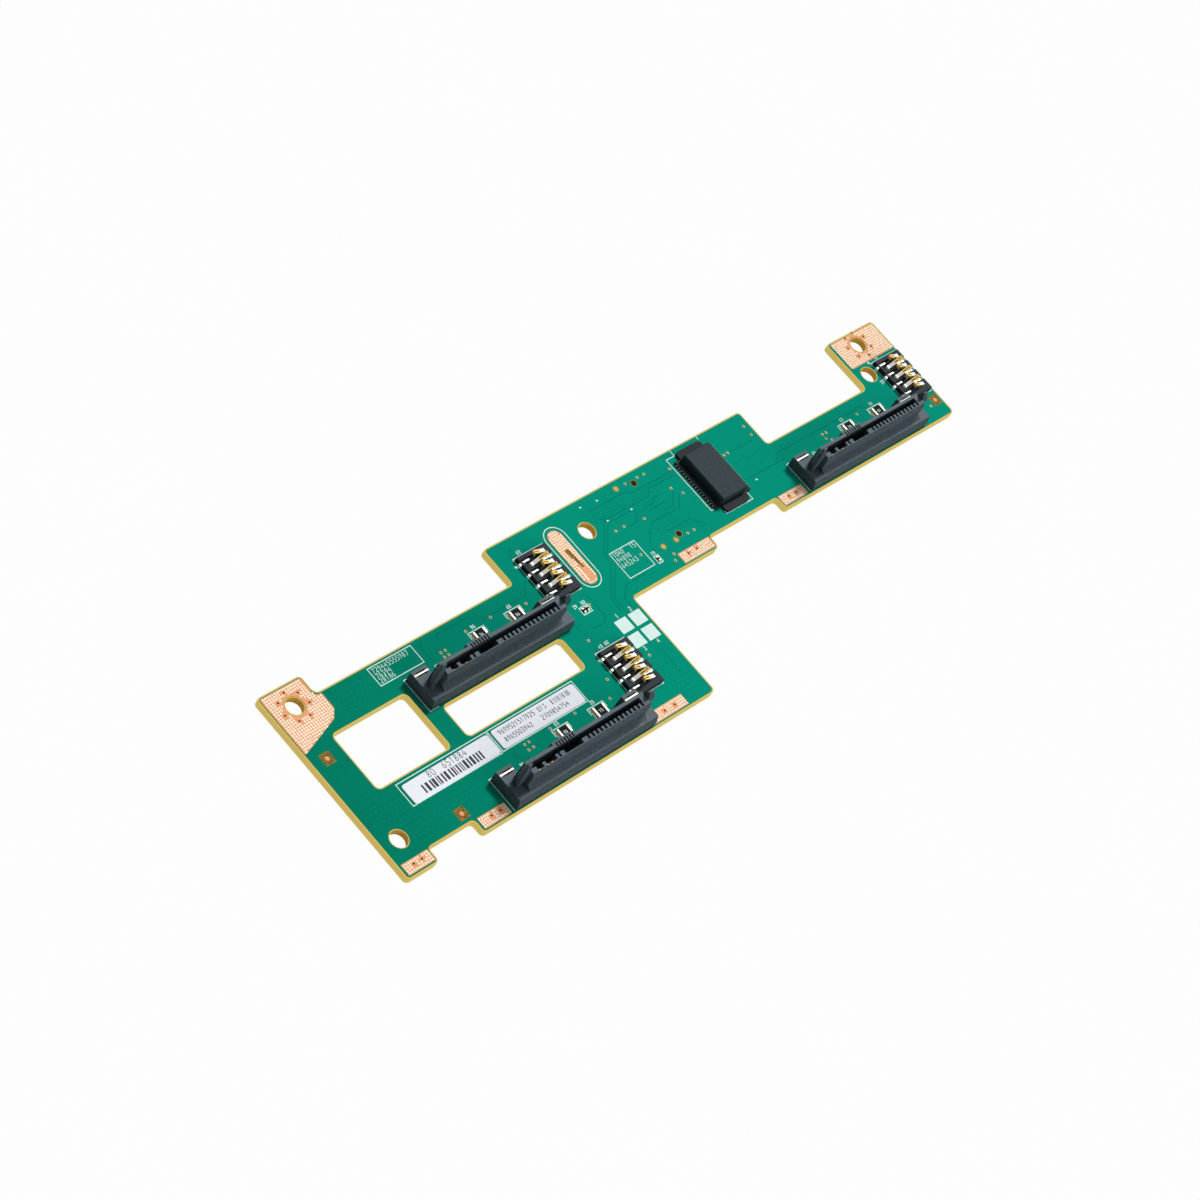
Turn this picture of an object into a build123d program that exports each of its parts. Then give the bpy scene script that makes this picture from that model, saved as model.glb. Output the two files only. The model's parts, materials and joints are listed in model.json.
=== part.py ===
from build123d import *
from math import ceil, cos, hypot, radians, sin
import os

os.makedirs("parts", exist_ok=True)

# Drive backplane board, in millimetres.
# The long side runs along X, components face +Z, and the underside is z = 0.
# Plan places are taken from the left end (u) and the near edge (v) of the board.
# Lengths along the board follow one another, so that a longer stretch moves what lies beyond it.

# Board thickness and corners
board_thickness = 1.6
outer_corner = 1.0
inner_corner = 0.9
wide_corner = 1.3

# Bays: each has a drive connector, a spring contact connector and two chip resistors
bay_start = 31.45
bay_near_margin = 0.65
bay_row_pitch = 26.35
upper_bay_near = bay_near_margin + bay_row_pitch

# Near edge, from the left foot to the right end
foot_width = 8.75
foot_notch_length = 12.95
foot_notch_depth = 3.35
lower_bay_overhang = 61.76
near_edge_run = 28.74
near_notch_length = 23.2
near_notch_depth = 3.2
foot_notch_end = foot_width + foot_notch_length
lower_bay_end = bay_start + lower_bay_overhang
near_notch_start = lower_bay_end + near_edge_run
near_notch_end = near_notch_start + near_notch_length
right_half_drop = 0.7
right_half_near = upper_bay_near - right_half_drop
near_notch_far = right_half_near + near_notch_depth
right_bay_gap = 9.7
right_bay_start = near_notch_end + right_bay_gap

# Far edge, from the left tab to the right tab
left_tab_width = 12.08
left_tab_rise = 4.8
left_recess_depth = 14.65
left_recess_far = upper_bay_near + left_recess_depth
left_tab_far = left_recess_far + left_tab_rise
middle_tab_rise = 9.5
middle_tab_far = left_recess_far + middle_tab_rise
middle_tab_lead = 38.4
middle_tab_overhang = 9.3
middle_tab_start = bay_start + middle_tab_lead
middle_tab_end = near_notch_end + middle_tab_overhang
right_recess_drop = 0.2
right_recess_far = left_recess_far - right_recess_drop
right_tab_lead = 35.9
right_tab_start = right_bay_start + right_tab_lead
right_tab_width = 17.1
right_tab_rise = 13.75
board_length = right_tab_start + right_tab_width
board_width = right_recess_far + right_tab_rise

# Airflow windows between the two bays on the left
window_corner = 1.1
window_bar = 5.2
left_window_length = 20.75
left_window_width = 14.1
right_window_length = 35.55
right_window_width = 7.9
window_lead = 3.1
window_bay_gap = 0.65
right_window_start = bay_start + window_lead
window_near = upper_bay_near - window_bay_gap - right_window_width
left_window_start = right_window_start - window_bar - left_window_length

# Bare copper lands, with their bare margins
land_thickness = 0.06
land_margin = 0.5
land_hole_margin = 0.25
far_left_land_shoulder = 1.27
far_left_land_step = 4.5
far_left_land_corner = 6.4
far_left_land_slant = 3.55
far_right_land_width = 15.6
far_right_land_depth = 7.8
far_right_land_inset = 0.4
edge_land_width = 2.7
edge_land_margin = 0.65
foot_land_margin = 0.85
lower_land_length = 10.55
notch_land_length = 10.35
bay_land_gap = 1.1
jumper_land_width = 4.0
jumper_land_length = 14.55
jumper_land_gap = 2.15
jumper_land_drop = 1.23

# Drive connector housing, from its left end and near side
drive_start = 0.15
drive_end = 42.6
drive_foot_height = 1.2
drive_bevel_run = 0.5
drive_platform_height = 2.7
drive_shelf_depth = 1.0
drive_apron_height = 3.6
drive_apron_start = 3.5
drive_wall_near = 2.1
drive_wall_far = 5.45
drive_rim_height = 7.25
drive_rim_bevel = 0.4
drive_rim_bevel_height = 0.95
drive_body_inset = 3.25
drive_boss_width = 4.3
drive_boss_far = 7.95
drive_floor_height = 1.0
drive_middle = (drive_start + drive_end) / 2
drive_body_start = drive_start + drive_body_inset
drive_body_end = drive_end - drive_body_inset

# Slot for the edge of the drive's connector, and the comb along its near wall
slot_start = 4.1
slot_length = 33.5
slot_near = 3.6
slot_width = 1.15
comb_near = 2.65
power_pitch = 1.27
power_count = 14
power_start = 20.62
power_cell = 0.65
signal_wells = ((5.0, 1.9), (7.7, 3.07), (11.5, 0.58), (13.26, 5.46))
signal_start = 5.95
signal_places = (0, 2, 3)

# Bulge in the far wall, with the fine cells of the second port
bulge_start = 12.0
bulge_length = 6.8
bulge_depth = 0.55
port_pitch = 0.8
port_count = 7
port_cell = 0.4
port_cell_wall = 0.25

# Guide posts at both ends of the drive connector, as distances from its end and near side
post_outer = 1.15
post_knee = 1.65
post_near = 3.15
post_knee_far = 4.1
post_far = 5.2
post_shoulder = 6.8
post_top = 9.0
post_tip_outer = 2.15
post_tip_depth = 0.7

# Contacts of the drive connector
contact_width = 0.4
contact_thickness = 0.2
contact_gap = 0.08
contact_elbow = 4.9
contact_nose_depth = 0.35
contact_tip = 6.5
port_contact_width = 0.26

# Hold-down blades soldered through the end bosses
blade_width = 4.0
blade_thickness = 0.35
blade_place = 6.82
blade_clearance = 0.06
blade_window_width = 2.6
blade_window_depth = 1.0
blade_window_drop = 1.3

# Spring contact connector
spring_body_start = 43.2
spring_body_near = 6.75
spring_body_length = 8.8
spring_body_width = 12.1
spring_body_height = 1.1
spring_floor = 0.4
spring_pitch = 1.47
spring_row_offset = 0.22
spring_count = 7
spring_width = 0.58
spring_channel = 0.86
spring_thickness = 0.15
spring_foot_length = 0.95
spring_foot_inset = 0.15
spring_foot_well = 1.75
spring_foot_window = 1.35
spring_clearance = 0.05
spring_bend_well = 1.0
spring_bend_inset = 1.5
spring_bend_radius = 0.45
spring_tip_reach = 3.7
spring_tip_height = 2.85
spring_nose_radius = 0.3
spring_nose_drop = 0.95
spring_arm_angle = 120
spring_nose_angle = 215
spring_arc_step = 42

# Jumper land, right of the upper bay's spring contact connector
spring_body_end = spring_body_start + spring_body_length
jumper_land_start = bay_start + spring_body_end + jumper_land_gap
jumper_land_end = jumper_land_start + jumper_land_width
jumper_land_middle = left_recess_far - jumper_land_drop

# Mounting holes
hole_diameter = 4.0
far_left_hole_inset = 6.2
far_left_hole_drop = 5.05
foot_hole_inset = 4.75
foot_hole_rise = 7.95
middle_hole_gap = 6.25
middle_hole_rise = 2.3
right_hole_inset = 4.1
right_hole_rise = 2.65
far_right_hole_inset = 8.9
far_right_hole_drop = 3.55
hole_places = {
    "far_left": (far_left_hole_inset, left_tab_far - far_left_hole_drop),
    "near_left": (foot_hole_inset, foot_hole_rise),
    "middle": (jumper_land_end + middle_hole_gap, left_recess_far + middle_hole_rise),
    "right": (right_tab_start + right_hole_inset, right_recess_far + right_hole_rise),
    "far_right": (board_length - far_right_hole_inset, board_width - far_right_hole_drop),
}

# Chip resistors behind each drive connector
resistor_length = 3.2
resistor_width = 2.5
resistor_height = 0.55
resistor_end = 0.45
resistor_lip = 0.03
resistor_row = 8.3
resistor_first = 22.8
resistor_pitch = 10.95

# Small chips near the middle of the board
small_chip_length = 1.0
small_chip_width = 0.5
small_chip_height = 0.35
small_chip_end = 0.25
small_chip_gap = 5.95
small_chip_pitch = 1.15
small_chip_rise = 2.1
lone_chip_gap = 12.74
lone_chip_rise = 4.55
chip_pair_start = bay_start + drive_end + small_chip_gap
small_chip_places = (
    (chip_pair_start, upper_bay_near + small_chip_rise),
    (chip_pair_start + small_chip_pitch, upper_bay_near + small_chip_rise),
    (lower_bay_end + lone_chip_gap, right_half_near + lone_chip_rise),
)

# Stacking connector with its pick-up cap
stack_lead = 12.5
stack_drop = 0.55
stack_centre = (near_notch_start + stack_lead, right_recess_far - stack_drop)
stack_ear_length = 17.4
stack_ear_width = 8.2
stack_ear_height = 0.6
stack_ear_corner = 1.0
stack_ledge_width = 12.0
stack_ledge_length = 13.6
stack_block_height = 1.9
stack_block_length = 12.5
stack_tail_pitch = 0.8
stack_tail_count = 16
stack_tail_width = 0.3
stack_tail_thickness = 0.15
stack_tail_reach = 0.6
stack_tail_height = 0.45
cap_length = 13.4
cap_width = 8.8
cap_offset = 0.05
cap_top = 2.4
cap_chamfer = 0.35
cap_corner = 0.5
cap_clearance = 0.05

# Paper labels: length, width and turn, with the middle's drop below the windows
label_thickness = 0.1
label_corner = 0.6
left_label_length = 24.9
left_label_width = 4.8
left_label_turn = 0.5
left_label_drop = 4.0
right_label_length = 24.8
right_label_width = 4.7
right_label_drop = 3.75
label_spacing = 1.2
left_label_lead = 18.1
left_label_start = bay_start - left_label_lead
right_label_start = left_label_start + left_label_length + label_spacing


# Plan places of the board turned into the part's frame, whose origin is under its middle
def place(u, v, z=0.0):
    return Pos(u - board_length / 2, v - board_width / 2, z)


# Place on top of the board
def on_board(u, v, z=0.0):
    return place(u, v, board_thickness + z)


# Box given by its near-left-lower corner and its size
def block(x, y, z, length, width, height):
    corner_at = (Align.MIN, Align.MIN, Align.MIN)
    return Pos(x, y, z) * Box(length, width, height, align=corner_at)


# Face in the XY plane inside a closed outline with a radius at each corner
def rounded_face(corners):
    points = [(x, y) for x, y, radius in corners]
    radii = [radius for x, y, radius in corners]
    return make_face(FilletPolyline(*points, radius=radii, close=True))


# Straight prism along X from a profile in the YZ plane
def prism_along_x(points, start, end):
    profile = Plane.YZ.offset(start) * make_face(Polyline(*points, close=True))
    return extrude(profile, amount=end - start, dir=(1, 0, 0))


# Straight prism along Y, centred on y = 0, from a profile in the XZ plane
def prism_along_y(points, width):
    corners = [Vector(x, 0, z) for x, z in points]
    return extrude(make_face(Polyline(*corners, close=True)), amount=width / 2, both=True)


def solids_of(pieces):
    return Compound(children=list(pieces))


def save(name, shape):
    export_step(shape, f"parts/{name}.step")


# Board outline, from the far left tab round the right end and back along the near edge
def board_outline():
    return rounded_face(
        [
            (0, left_tab_far, outer_corner),
            (left_tab_width, left_tab_far, outer_corner),
            (left_tab_width, left_recess_far, wide_corner),
            (middle_tab_start, left_recess_far, inner_corner),
            (middle_tab_start, middle_tab_far, outer_corner),
            (middle_tab_end, middle_tab_far, outer_corner),
            (middle_tab_end, right_recess_far, inner_corner),
            (right_tab_start, right_recess_far, wide_corner),
            (right_tab_start, board_width, outer_corner),
            (board_length, board_width, outer_corner),
            (board_length, right_half_near, wide_corner),
            (near_notch_end, right_half_near, inner_corner),
            (near_notch_end, near_notch_far, inner_corner),
            (near_notch_start, near_notch_far, inner_corner),
            (near_notch_start, right_half_near, wide_corner),
            (lower_bay_end, right_half_near, inner_corner),
            (lower_bay_end, 0, wide_corner),
            (foot_notch_end, 0, outer_corner),
            (foot_notch_end, foot_notch_depth, inner_corner),
            (foot_width, foot_notch_depth, inner_corner),
            (foot_width, 0, outer_corner),
            (0, 0, outer_corner),
        ]
    )


# Window with rounded corners, cut right through the board
def window(start, length, width):
    face = Pos(start + length / 2, window_near + width / 2) * RectangleRounded(length, width, window_corner)
    return extrude(face, amount=board_thickness)


# Rigid laminate with five mounting holes and two airflow windows
def circuit_board():
    board = extrude(board_outline(), amount=board_thickness)
    for u, v in hole_places.values():
        board -= Pos(u, v, board_thickness / 2) * Cylinder(hole_diameter / 2, 2 * board_thickness)
    board -= window(left_window_start, left_window_length, left_window_width)
    board -= window(right_window_start, right_window_length, right_window_width)
    return place(0, 0) * board


# Land under the far left mounting hole, following the tab and cut off on a slant
def far_left_land():
    land_far = left_tab_far - land_margin
    shoulder = left_tab_width + far_left_land_shoulder
    shoulder_far = left_recess_far - land_margin
    tab_right = left_tab_width - land_margin
    corner_far = left_recess_far - far_left_land_corner
    face = rounded_face(
        [
            (land_margin, land_far, land_margin),
            (tab_right, land_far, land_margin),
            (tab_right, shoulder_far, wide_corner),
            (shoulder, shoulder_far, land_margin / 2),
            (shoulder, left_recess_far - far_left_land_step, wide_corner),
            (tab_right, corner_far, land_margin),
            (land_margin, corner_far - far_left_land_slant, land_margin / 2),
        ]
    )
    return extrude(face, amount=land_thickness)


# Land round the far right mounting hole
def far_right_land():
    u = board_length - far_right_land_width / 2 - land_margin
    v = board_width - far_right_land_depth / 2 - far_right_land_inset
    face = Pos(u, v) * RectangleRounded(far_right_land_width, far_right_land_depth, land_margin)
    return extrude(face, amount=land_thickness)


def corner_lands():
    bare_diameter = hole_diameter + 2 * land_hole_margin
    pieces = []
    for land, name in ((far_left_land(), "far_left"), (far_right_land(), "far_right")):
        u, v = hole_places[name]
        land -= Pos(u, v) * Cylinder(bare_diameter / 2, 4 * land_thickness)
        pieces.append(on_board(0, 0) * land)
    return solids_of(pieces)


# Land along the near edge, from one place to another
def edge_land(start, end, near):
    face = Rectangle(end - start, edge_land_width)
    seat = on_board((start + end) / 2, near + edge_land_margin + edge_land_width / 2)
    return seat * extrude(face, amount=land_thickness)


# Lands on the left foot, on both sides of the lower bay, and on both sides of the near notch
def edge_lands():
    lower_start = foot_notch_end + foot_land_margin
    lower_right = bay_start + drive_end + land_margin
    notch_land_end = near_notch_start - land_margin
    right_start = near_notch_end + land_margin
    return solids_of(
        [
            edge_land(foot_land_margin, foot_width - land_margin, 0),
            edge_land(lower_start, bay_start - bay_land_gap, 0),
            edge_land(lower_right, lower_right + lower_land_length, 0),
            edge_land(notch_land_end - notch_land_length, notch_land_end, right_half_near),
            edge_land(right_start, right_bay_start - bay_land_gap, right_half_near),
        ]
    )


def jumper_land():
    face = Rot(0, 0, 90) * SlotOverall(jumper_land_length, jumper_land_width)
    seat = on_board((jumper_land_start + jumper_land_end) / 2, jumper_land_middle)
    return seat * extrude(face, amount=land_thickness)


# Paper label stuck on the board below the windows
def label(start, drop, length, width, turn):
    face = Rot(0, 0, turn) * RectangleRounded(length, width, label_corner)
    return on_board(start + length / 2, window_near - drop) * extrude(face, amount=label_thickness)


# Guide post at the left end: a corner block whose top tapers to a ridge beside the slot body
def guide_post():
    outer = drive_start + post_outer
    knee = drive_start + post_knee
    tip_outer = drive_start + post_tip_outer
    tip_near = post_near + post_tip_depth
    foot = [
        (outer, post_near),
        (knee, post_knee_far),
        (drive_body_start, post_far),
        (drive_body_start, post_near),
    ]
    tip = [
        (tip_outer, tip_near),
        (tip_outer, post_knee_far),
        (drive_body_start, post_knee_far),
        (drive_body_start, tip_near),
    ]
    shaft = extrude(make_face(Polyline(*foot, close=True)), amount=post_shoulder)
    shoulder = Pos(0, 0, post_shoulder) * make_face(Polyline(*foot, close=True))
    crown = Pos(0, 0, post_top) * make_face(Polyline(*tip, close=True))
    return shaft + loft([shoulder, crown])


# Left side of each rear boss
def blade_bosses():
    return (drive_start, drive_end - drive_boss_width)


# Moulded housing of the drive connector: platforms, apron, slotted wall and guide posts
def drive_housing():
    base_profile = [
        (0, 0),
        (0, drive_foot_height),
        (drive_bevel_run, drive_platform_height),
        (drive_wall_far, drive_platform_height),
        (drive_wall_far, 0),
    ]
    apron_profile = [
        (drive_shelf_depth, drive_foot_height),
        (drive_shelf_depth, drive_platform_height),
        (drive_wall_near, drive_apron_height),
        (drive_wall_far, drive_apron_height),
        (drive_wall_far, drive_foot_height),
    ]
    body_profile = [
        (drive_wall_near, drive_foot_height),
        (drive_wall_near, drive_rim_height - drive_rim_bevel_height),
        (drive_wall_near + drive_rim_bevel, drive_rim_height),
        (drive_wall_far, drive_rim_height),
        (drive_wall_far, drive_foot_height),
    ]
    housing = prism_along_x(base_profile, drive_start, drive_end)
    housing += prism_along_x(apron_profile, drive_apron_start, drive_body_end)
    housing += prism_along_x(body_profile, drive_body_start, drive_body_end)
    bulge_width = drive_wall_far + bulge_depth - slot_near
    housing += block(bulge_start, slot_near, 0, bulge_length, bulge_width, drive_rim_height)
    for start in blade_bosses():
        boss_depth = drive_boss_far - drive_wall_near
        housing += block(start, drive_wall_near, 0, drive_boss_width, boss_depth, drive_platform_height)
    post = guide_post()
    housing += post
    housing += Pos(2 * drive_middle, 0, 0) * mirror(post, about=Plane.YZ)
    housing -= slot_cuts()
    housing -= blade_cuts()
    return housing


# First cell of the second port, with the row centred in the bulge
def port_first():
    return bulge_start + (bulge_length - (port_count - 1) * port_pitch) / 2


# Slot, comb cells, signal wells and the cells of the second port
def slot_cuts():
    slot_height = drive_rim_height - drive_floor_height
    cuts = block(slot_start, slot_near, drive_floor_height, slot_length, slot_width, slot_height)
    slot_middle = slot_near + slot_width / 2
    cell_depth = slot_middle - comb_near
    for index in range(power_count):
        start = power_start + index * power_pitch - power_cell / 2
        cuts += block(start, comb_near, 0, power_cell, cell_depth, drive_rim_height)
    for start, length in signal_wells:
        cuts += block(start, comb_near, 0, length, cell_depth, drive_rim_height)
    cell_far = drive_wall_far + bulge_depth - port_cell_wall
    for index in range(port_count):
        start = port_first() + index * port_pitch - port_cell / 2
        cuts += block(start, slot_middle, 0, port_cell, cell_far - slot_middle, drive_rim_height)
    return cuts


# Gap for each hold-down blade, wider in its middle near the top
def blade_cuts():
    cuts = []
    gap_length = blade_width + 2 * blade_clearance
    gap_width = blade_thickness + 2 * blade_clearance
    for start in blade_bosses():
        middle = start + drive_boss_width / 2
        near = blade_place - gap_width / 2
        cuts.append(block(middle - gap_length / 2, near, 0, gap_length, gap_width, drive_platform_height))
        window_start = middle - blade_window_width / 2
        recess_near = blade_place - blade_window_depth / 2
        recess_z = drive_platform_height - blade_window_drop
        recess = (blade_window_width, blade_window_depth, blade_window_drop)
        cuts.append(block(window_start, recess_near, recess_z, *recess))
    return cuts


# Spring beam that stands in its cell and leans into the slot near its top
def drive_contact(x, back, width, side):
    front = back + side * contact_thickness
    nose = front + side * contact_nose_depth
    nose_height = (contact_elbow + contact_tip) / 2
    points = [
        (back, 0),
        (front, 0),
        (front, contact_elbow),
        (nose, nose_height),
        (front, contact_tip),
        (back, contact_tip),
        (nose - side * contact_thickness, nose_height),
        (back, contact_elbow),
    ]
    return prism_along_x(points, x - width / 2, x + width / 2)


def power_contacts():
    back = comb_near + contact_gap
    places = [power_start + index * power_pitch for index in range(power_count)]
    return [drive_contact(x, back, contact_width, 1) for x in places]


def signal_contacts():
    back = comb_near + contact_gap
    places = [signal_start + index * power_pitch for index in signal_places]
    return [drive_contact(x, back, contact_width, 1) for x in places]


def port_contacts():
    back = drive_wall_far + bulge_depth - port_cell_wall - contact_gap
    places = [port_first() + index * port_pitch for index in range(port_count)]
    return [drive_contact(x, back, port_contact_width, -1) for x in places]


def hold_downs():
    blades = []
    for start in blade_bosses():
        x = start + (drive_boss_width - blade_width) / 2
        y = blade_place - blade_thickness / 2
        blades.append(block(x, y, 0, blade_width, blade_thickness, drive_platform_height))
    return blades


# Row place of each spring contact, counted from the near side
def spring_row(index):
    middle = spring_body_near + spring_body_width / 2 + spring_row_offset
    return middle + (index - (spring_count - 1) / 2) * spring_pitch


# Even rows have their foot on the left, odd rows on the right
def foot_on_left(index):
    return index % 2 == 0


# Hollow for one spring with its foot on the left, seen along its row:
# a well round the foot, a tunnel for the lower arm and a well round the bend
def spring_hollow():
    near = -spring_channel / 2
    open_height = spring_body_height - spring_floor
    bend_start = spring_body_length - spring_bend_inset - spring_bend_well / 2
    tunnel_length = bend_start - spring_foot_well
    tunnel_height = spring_thickness + 3 * spring_clearance
    hollow = block(0, near, spring_floor, spring_foot_well, spring_channel, open_height)
    hollow += block(0, near, 0, spring_foot_window, spring_channel, spring_floor)
    hollow += block(spring_foot_well, near, spring_floor, tunnel_length, spring_channel, tunnel_height)
    hollow += block(bend_start, near, spring_floor, spring_bend_well, spring_channel, open_height)
    return hollow


# A piece made for a foot on the left, turned round for a foot on the right and put in its row
def in_spring_row(piece, index):
    if not foot_on_left(index):
        piece = Pos(spring_body_length, 0, 0) * mirror(piece, about=Plane.YZ)
    return Pos(spring_body_start, spring_row(index), 0) * piece


# Tray that guides the spring contacts
def spring_housing():
    size = (spring_body_length, spring_body_width, spring_body_height)
    tray = block(spring_body_start, spring_body_near, 0, *size)
    hollow = spring_hollow()
    for index in range(spring_count):
        tray -= in_spring_row(hollow, index)
    return tray


# Points of an arc in the XZ plane, by centre, radius and its two angles in degrees
def arc_points(x, z, radius, start, end):
    steps = ceil((end - start) / spring_arc_step)
    angles = [start + (end - start) * step / steps for step in range(steps + 1)]
    return [(x + radius * cos(radians(angle)), z + radius * sin(radians(angle))) for angle in angles]


# One side of a strip: each point of the middle line moved sideways, mitred at the corners
def strip_side(line, distance):
    side = []
    for index, (x, z) in enumerate(line):
        before = line[max(index - 1, 0)]
        after = line[min(index + 1, len(line) - 1)]
        if index == 0:
            before = (2 * x - after[0], 2 * z - after[1])
        if index == len(line) - 1:
            after = (2 * x - before[0], 2 * z - before[1])
        first = hypot(x - before[0], z - before[1])
        second = hypot(after[0] - x, after[1] - z)
        normal_x = -(z - before[1]) / first - (after[1] - z) / second
        normal_z = (x - before[0]) / first + (after[0] - x) / second
        scale = 2 * distance / (normal_x**2 + normal_z**2)
        side.append((x + scale * normal_x, z + scale * normal_z))
    return side


# Spring contact: foot on the board, riser, lower arm, round bend, raised arm and hooked nose
def spring_strip():
    half = spring_thickness / 2
    riser = spring_foot_inset + spring_foot_length
    arm_z = spring_floor + spring_clearance + half
    bend_x = spring_body_length - spring_bend_inset - spring_bend_radius
    bend_z = arm_z + spring_bend_radius
    nose_x = bend_x - spring_tip_reach
    nose_z = spring_tip_height
    hook_x = nose_x + spring_nose_radius
    line = [
        (spring_foot_inset, half),
        (riser, half),
        (riser, arm_z),
        *arc_points(bend_x, bend_z, spring_bend_radius, -90, spring_arm_angle),
        *arc_points(nose_x, nose_z, spring_nose_radius, spring_arm_angle, spring_nose_angle),
        (hook_x, nose_z - spring_nose_drop),
    ]
    outline = strip_side(line, half) + strip_side(line, -half)[::-1]
    return prism_along_y(outline, spring_width)


def spring_contacts(left):
    strip = spring_strip()
    return [in_spring_row(strip, index) for index in range(spring_count) if foot_on_left(index) == left]


def chip_body(x, y, length, width, height, end):
    return block(x - length / 2 + end, y - width / 2, 0, length - 2 * end, width, height)


def chip_ends(x, y, length, width, height, end):
    left = block(x - length / 2, y - width / 2, 0, end, width, height)
    right = block(x + length / 2 - end, y - width / 2, 0, end, width, height)
    return [left, right]


# Middles of the two resistors of a bay
def resistor_places():
    return [(resistor_first + index * resistor_pitch, resistor_row) for index in range(2)]


def resistor_bodies():
    size = (resistor_length, resistor_width, resistor_height, resistor_end)
    return [chip_body(x, y, *size) for x, y in resistor_places()]


def resistor_ends():
    size = (resistor_length, resistor_width, resistor_height + resistor_lip, resistor_end)
    ends = []
    for x, y in resistor_places():
        ends += chip_ends(x, y, *size)
    return ends


# Small chips lie along Y
def small_chip_shapes(shapes_for, lip):
    size = (small_chip_length, small_chip_width, small_chip_height + lip, small_chip_end)
    pieces = []
    for u, v in small_chip_places:
        for piece in shapes_for(0, 0, *size):
            pieces.append(on_board(u, v) * Rot(0, 0, 90) * piece)
    return pieces


def small_chip_bodies():
    return small_chip_shapes(lambda *size: [chip_body(*size)], 0)


def small_chip_ends():
    return small_chip_shapes(chip_ends, resistor_lip)


# Places of the tails along one side of the stacking connector
def stack_rows():
    first = -(stack_tail_count - 1) * stack_tail_pitch / 2
    return [first + index * stack_tail_pitch for index in range(stack_tail_count)]


# Stacking connector: rounded ears, a wide ledge over the tails and a raised block under the cap
def stack_housing():
    ears = RectangleRounded(stack_ear_width, stack_ear_length, stack_ear_corner)
    body = extrude(ears, amount=stack_ear_height)
    ledge_x = -stack_ledge_width / 2
    ledge_y = -stack_ledge_length / 2
    body += block(ledge_x, ledge_y, 0, stack_ledge_width, stack_ledge_length, stack_ear_height)
    block_x = -stack_ear_width / 2
    block_y = -stack_block_length / 2
    body += block(block_x, block_y, 0, stack_ear_width, stack_block_length, stack_block_height)
    return body


# Tails on the +X side, bent down from the ledge to the board
def stack_tails():
    start = stack_ledge_width / 2
    end = start + stack_tail_reach
    thick = stack_tail_thickness
    top = stack_tail_height
    points = [
        (start, top - thick),
        (start + thick, top - thick),
        (start + thick, 0),
        (end, 0),
        (end, thick),
        (start + 2 * thick, thick),
        (start + 2 * thick, top),
        (start, top),
    ]
    tail = prism_along_y(points, stack_tail_width)
    return [Pos(0, row, 0) * tail for row in stack_rows()]


# Cap that a placing machine holds, resting on the ledge over the raised block
def pick_up_cap():
    face = RectangleRounded(cap_width, cap_length, cap_corner)
    cap = Pos(0, cap_offset, stack_ear_height) * extrude(face, amount=cap_top - stack_ear_height)
    cap = chamfer(cap.faces().sort_by(Axis.Z)[-1].edges(), cap_chamfer)
    hollow_width = stack_ear_width + 2 * cap_clearance
    hollow_length = stack_block_length + 2 * cap_clearance
    hollow_height = stack_block_height - stack_ear_height
    hollow = (hollow_width, hollow_length, hollow_height)
    cap -= block(-hollow_width / 2, -hollow_length / 2, stack_ear_height, *hollow)
    return cap


# Pieces of one bay, each a group of like solids
def save_bay(name, start, near):
    def seat(pieces):
        return solids_of([on_board(start, near) * piece for piece in pieces])

    save(f"drive_housing_{name}", seat([drive_housing()]))
    save(f"power_contacts_{name}", seat(power_contacts()))
    save(f"signal_contacts_{name}", seat(signal_contacts()))
    save(f"port_contacts_{name}", seat(port_contacts()))
    save(f"hold_downs_{name}", seat(hold_downs()))
    save(f"spring_housing_{name}", seat([spring_housing()]))
    save(f"left_springs_{name}", seat(spring_contacts(True)))
    save(f"right_springs_{name}", seat(spring_contacts(False)))
    save(f"resistor_bodies_{name}", seat(resistor_bodies()))
    save(f"resistor_ends_{name}", seat(resistor_ends()))


def save_labels():
    left = (left_label_drop, left_label_length, left_label_width, left_label_turn)
    right = (right_label_drop, right_label_length, right_label_width, 0)
    save("left_label", label(left_label_start, *left))
    save("right_label", label(right_label_start, *right))


def save_stacking_connector():
    seat = on_board(*stack_centre)
    right_tails = stack_tails()
    left_tails = [mirror(tail, about=Plane.YZ) for tail in right_tails]
    save("stack_housing", seat * stack_housing())
    save("stack_right_contacts", solids_of([seat * tail for tail in right_tails]))
    save("stack_left_contacts", solids_of([seat * tail for tail in left_tails]))
    save("pick_up_cap", seat * pick_up_cap())


save("circuit_board", circuit_board())
save("corner_lands", corner_lands())
save("edge_lands", edge_lands())
save("jumper_land", jumper_land())
save_labels()
save_bay("a", bay_start, upper_bay_near)
save_bay("b", bay_start, bay_near_margin)
save_bay("c", right_bay_start, upper_bay_near)
save("small_chip_bodies", solids_of(small_chip_bodies()))
save("small_chip_ends", solids_of(small_chip_ends()))
save_stacking_connector()
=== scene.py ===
# %% [markdown]
# A drive backplane board lies flat on a pale table. It is a sheet of glass-epoxy laminate with a
# green solder mask, bare copper lands, printed legend and three pairs of moulded connectors.
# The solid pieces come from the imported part, and this lesson adds the thin layers and finishes.

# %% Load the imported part
import json
import math

import bpy
import numpy as np
from mathutils import Euler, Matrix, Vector
from mathutils.geometry import delaunay_2d_cdt


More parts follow.
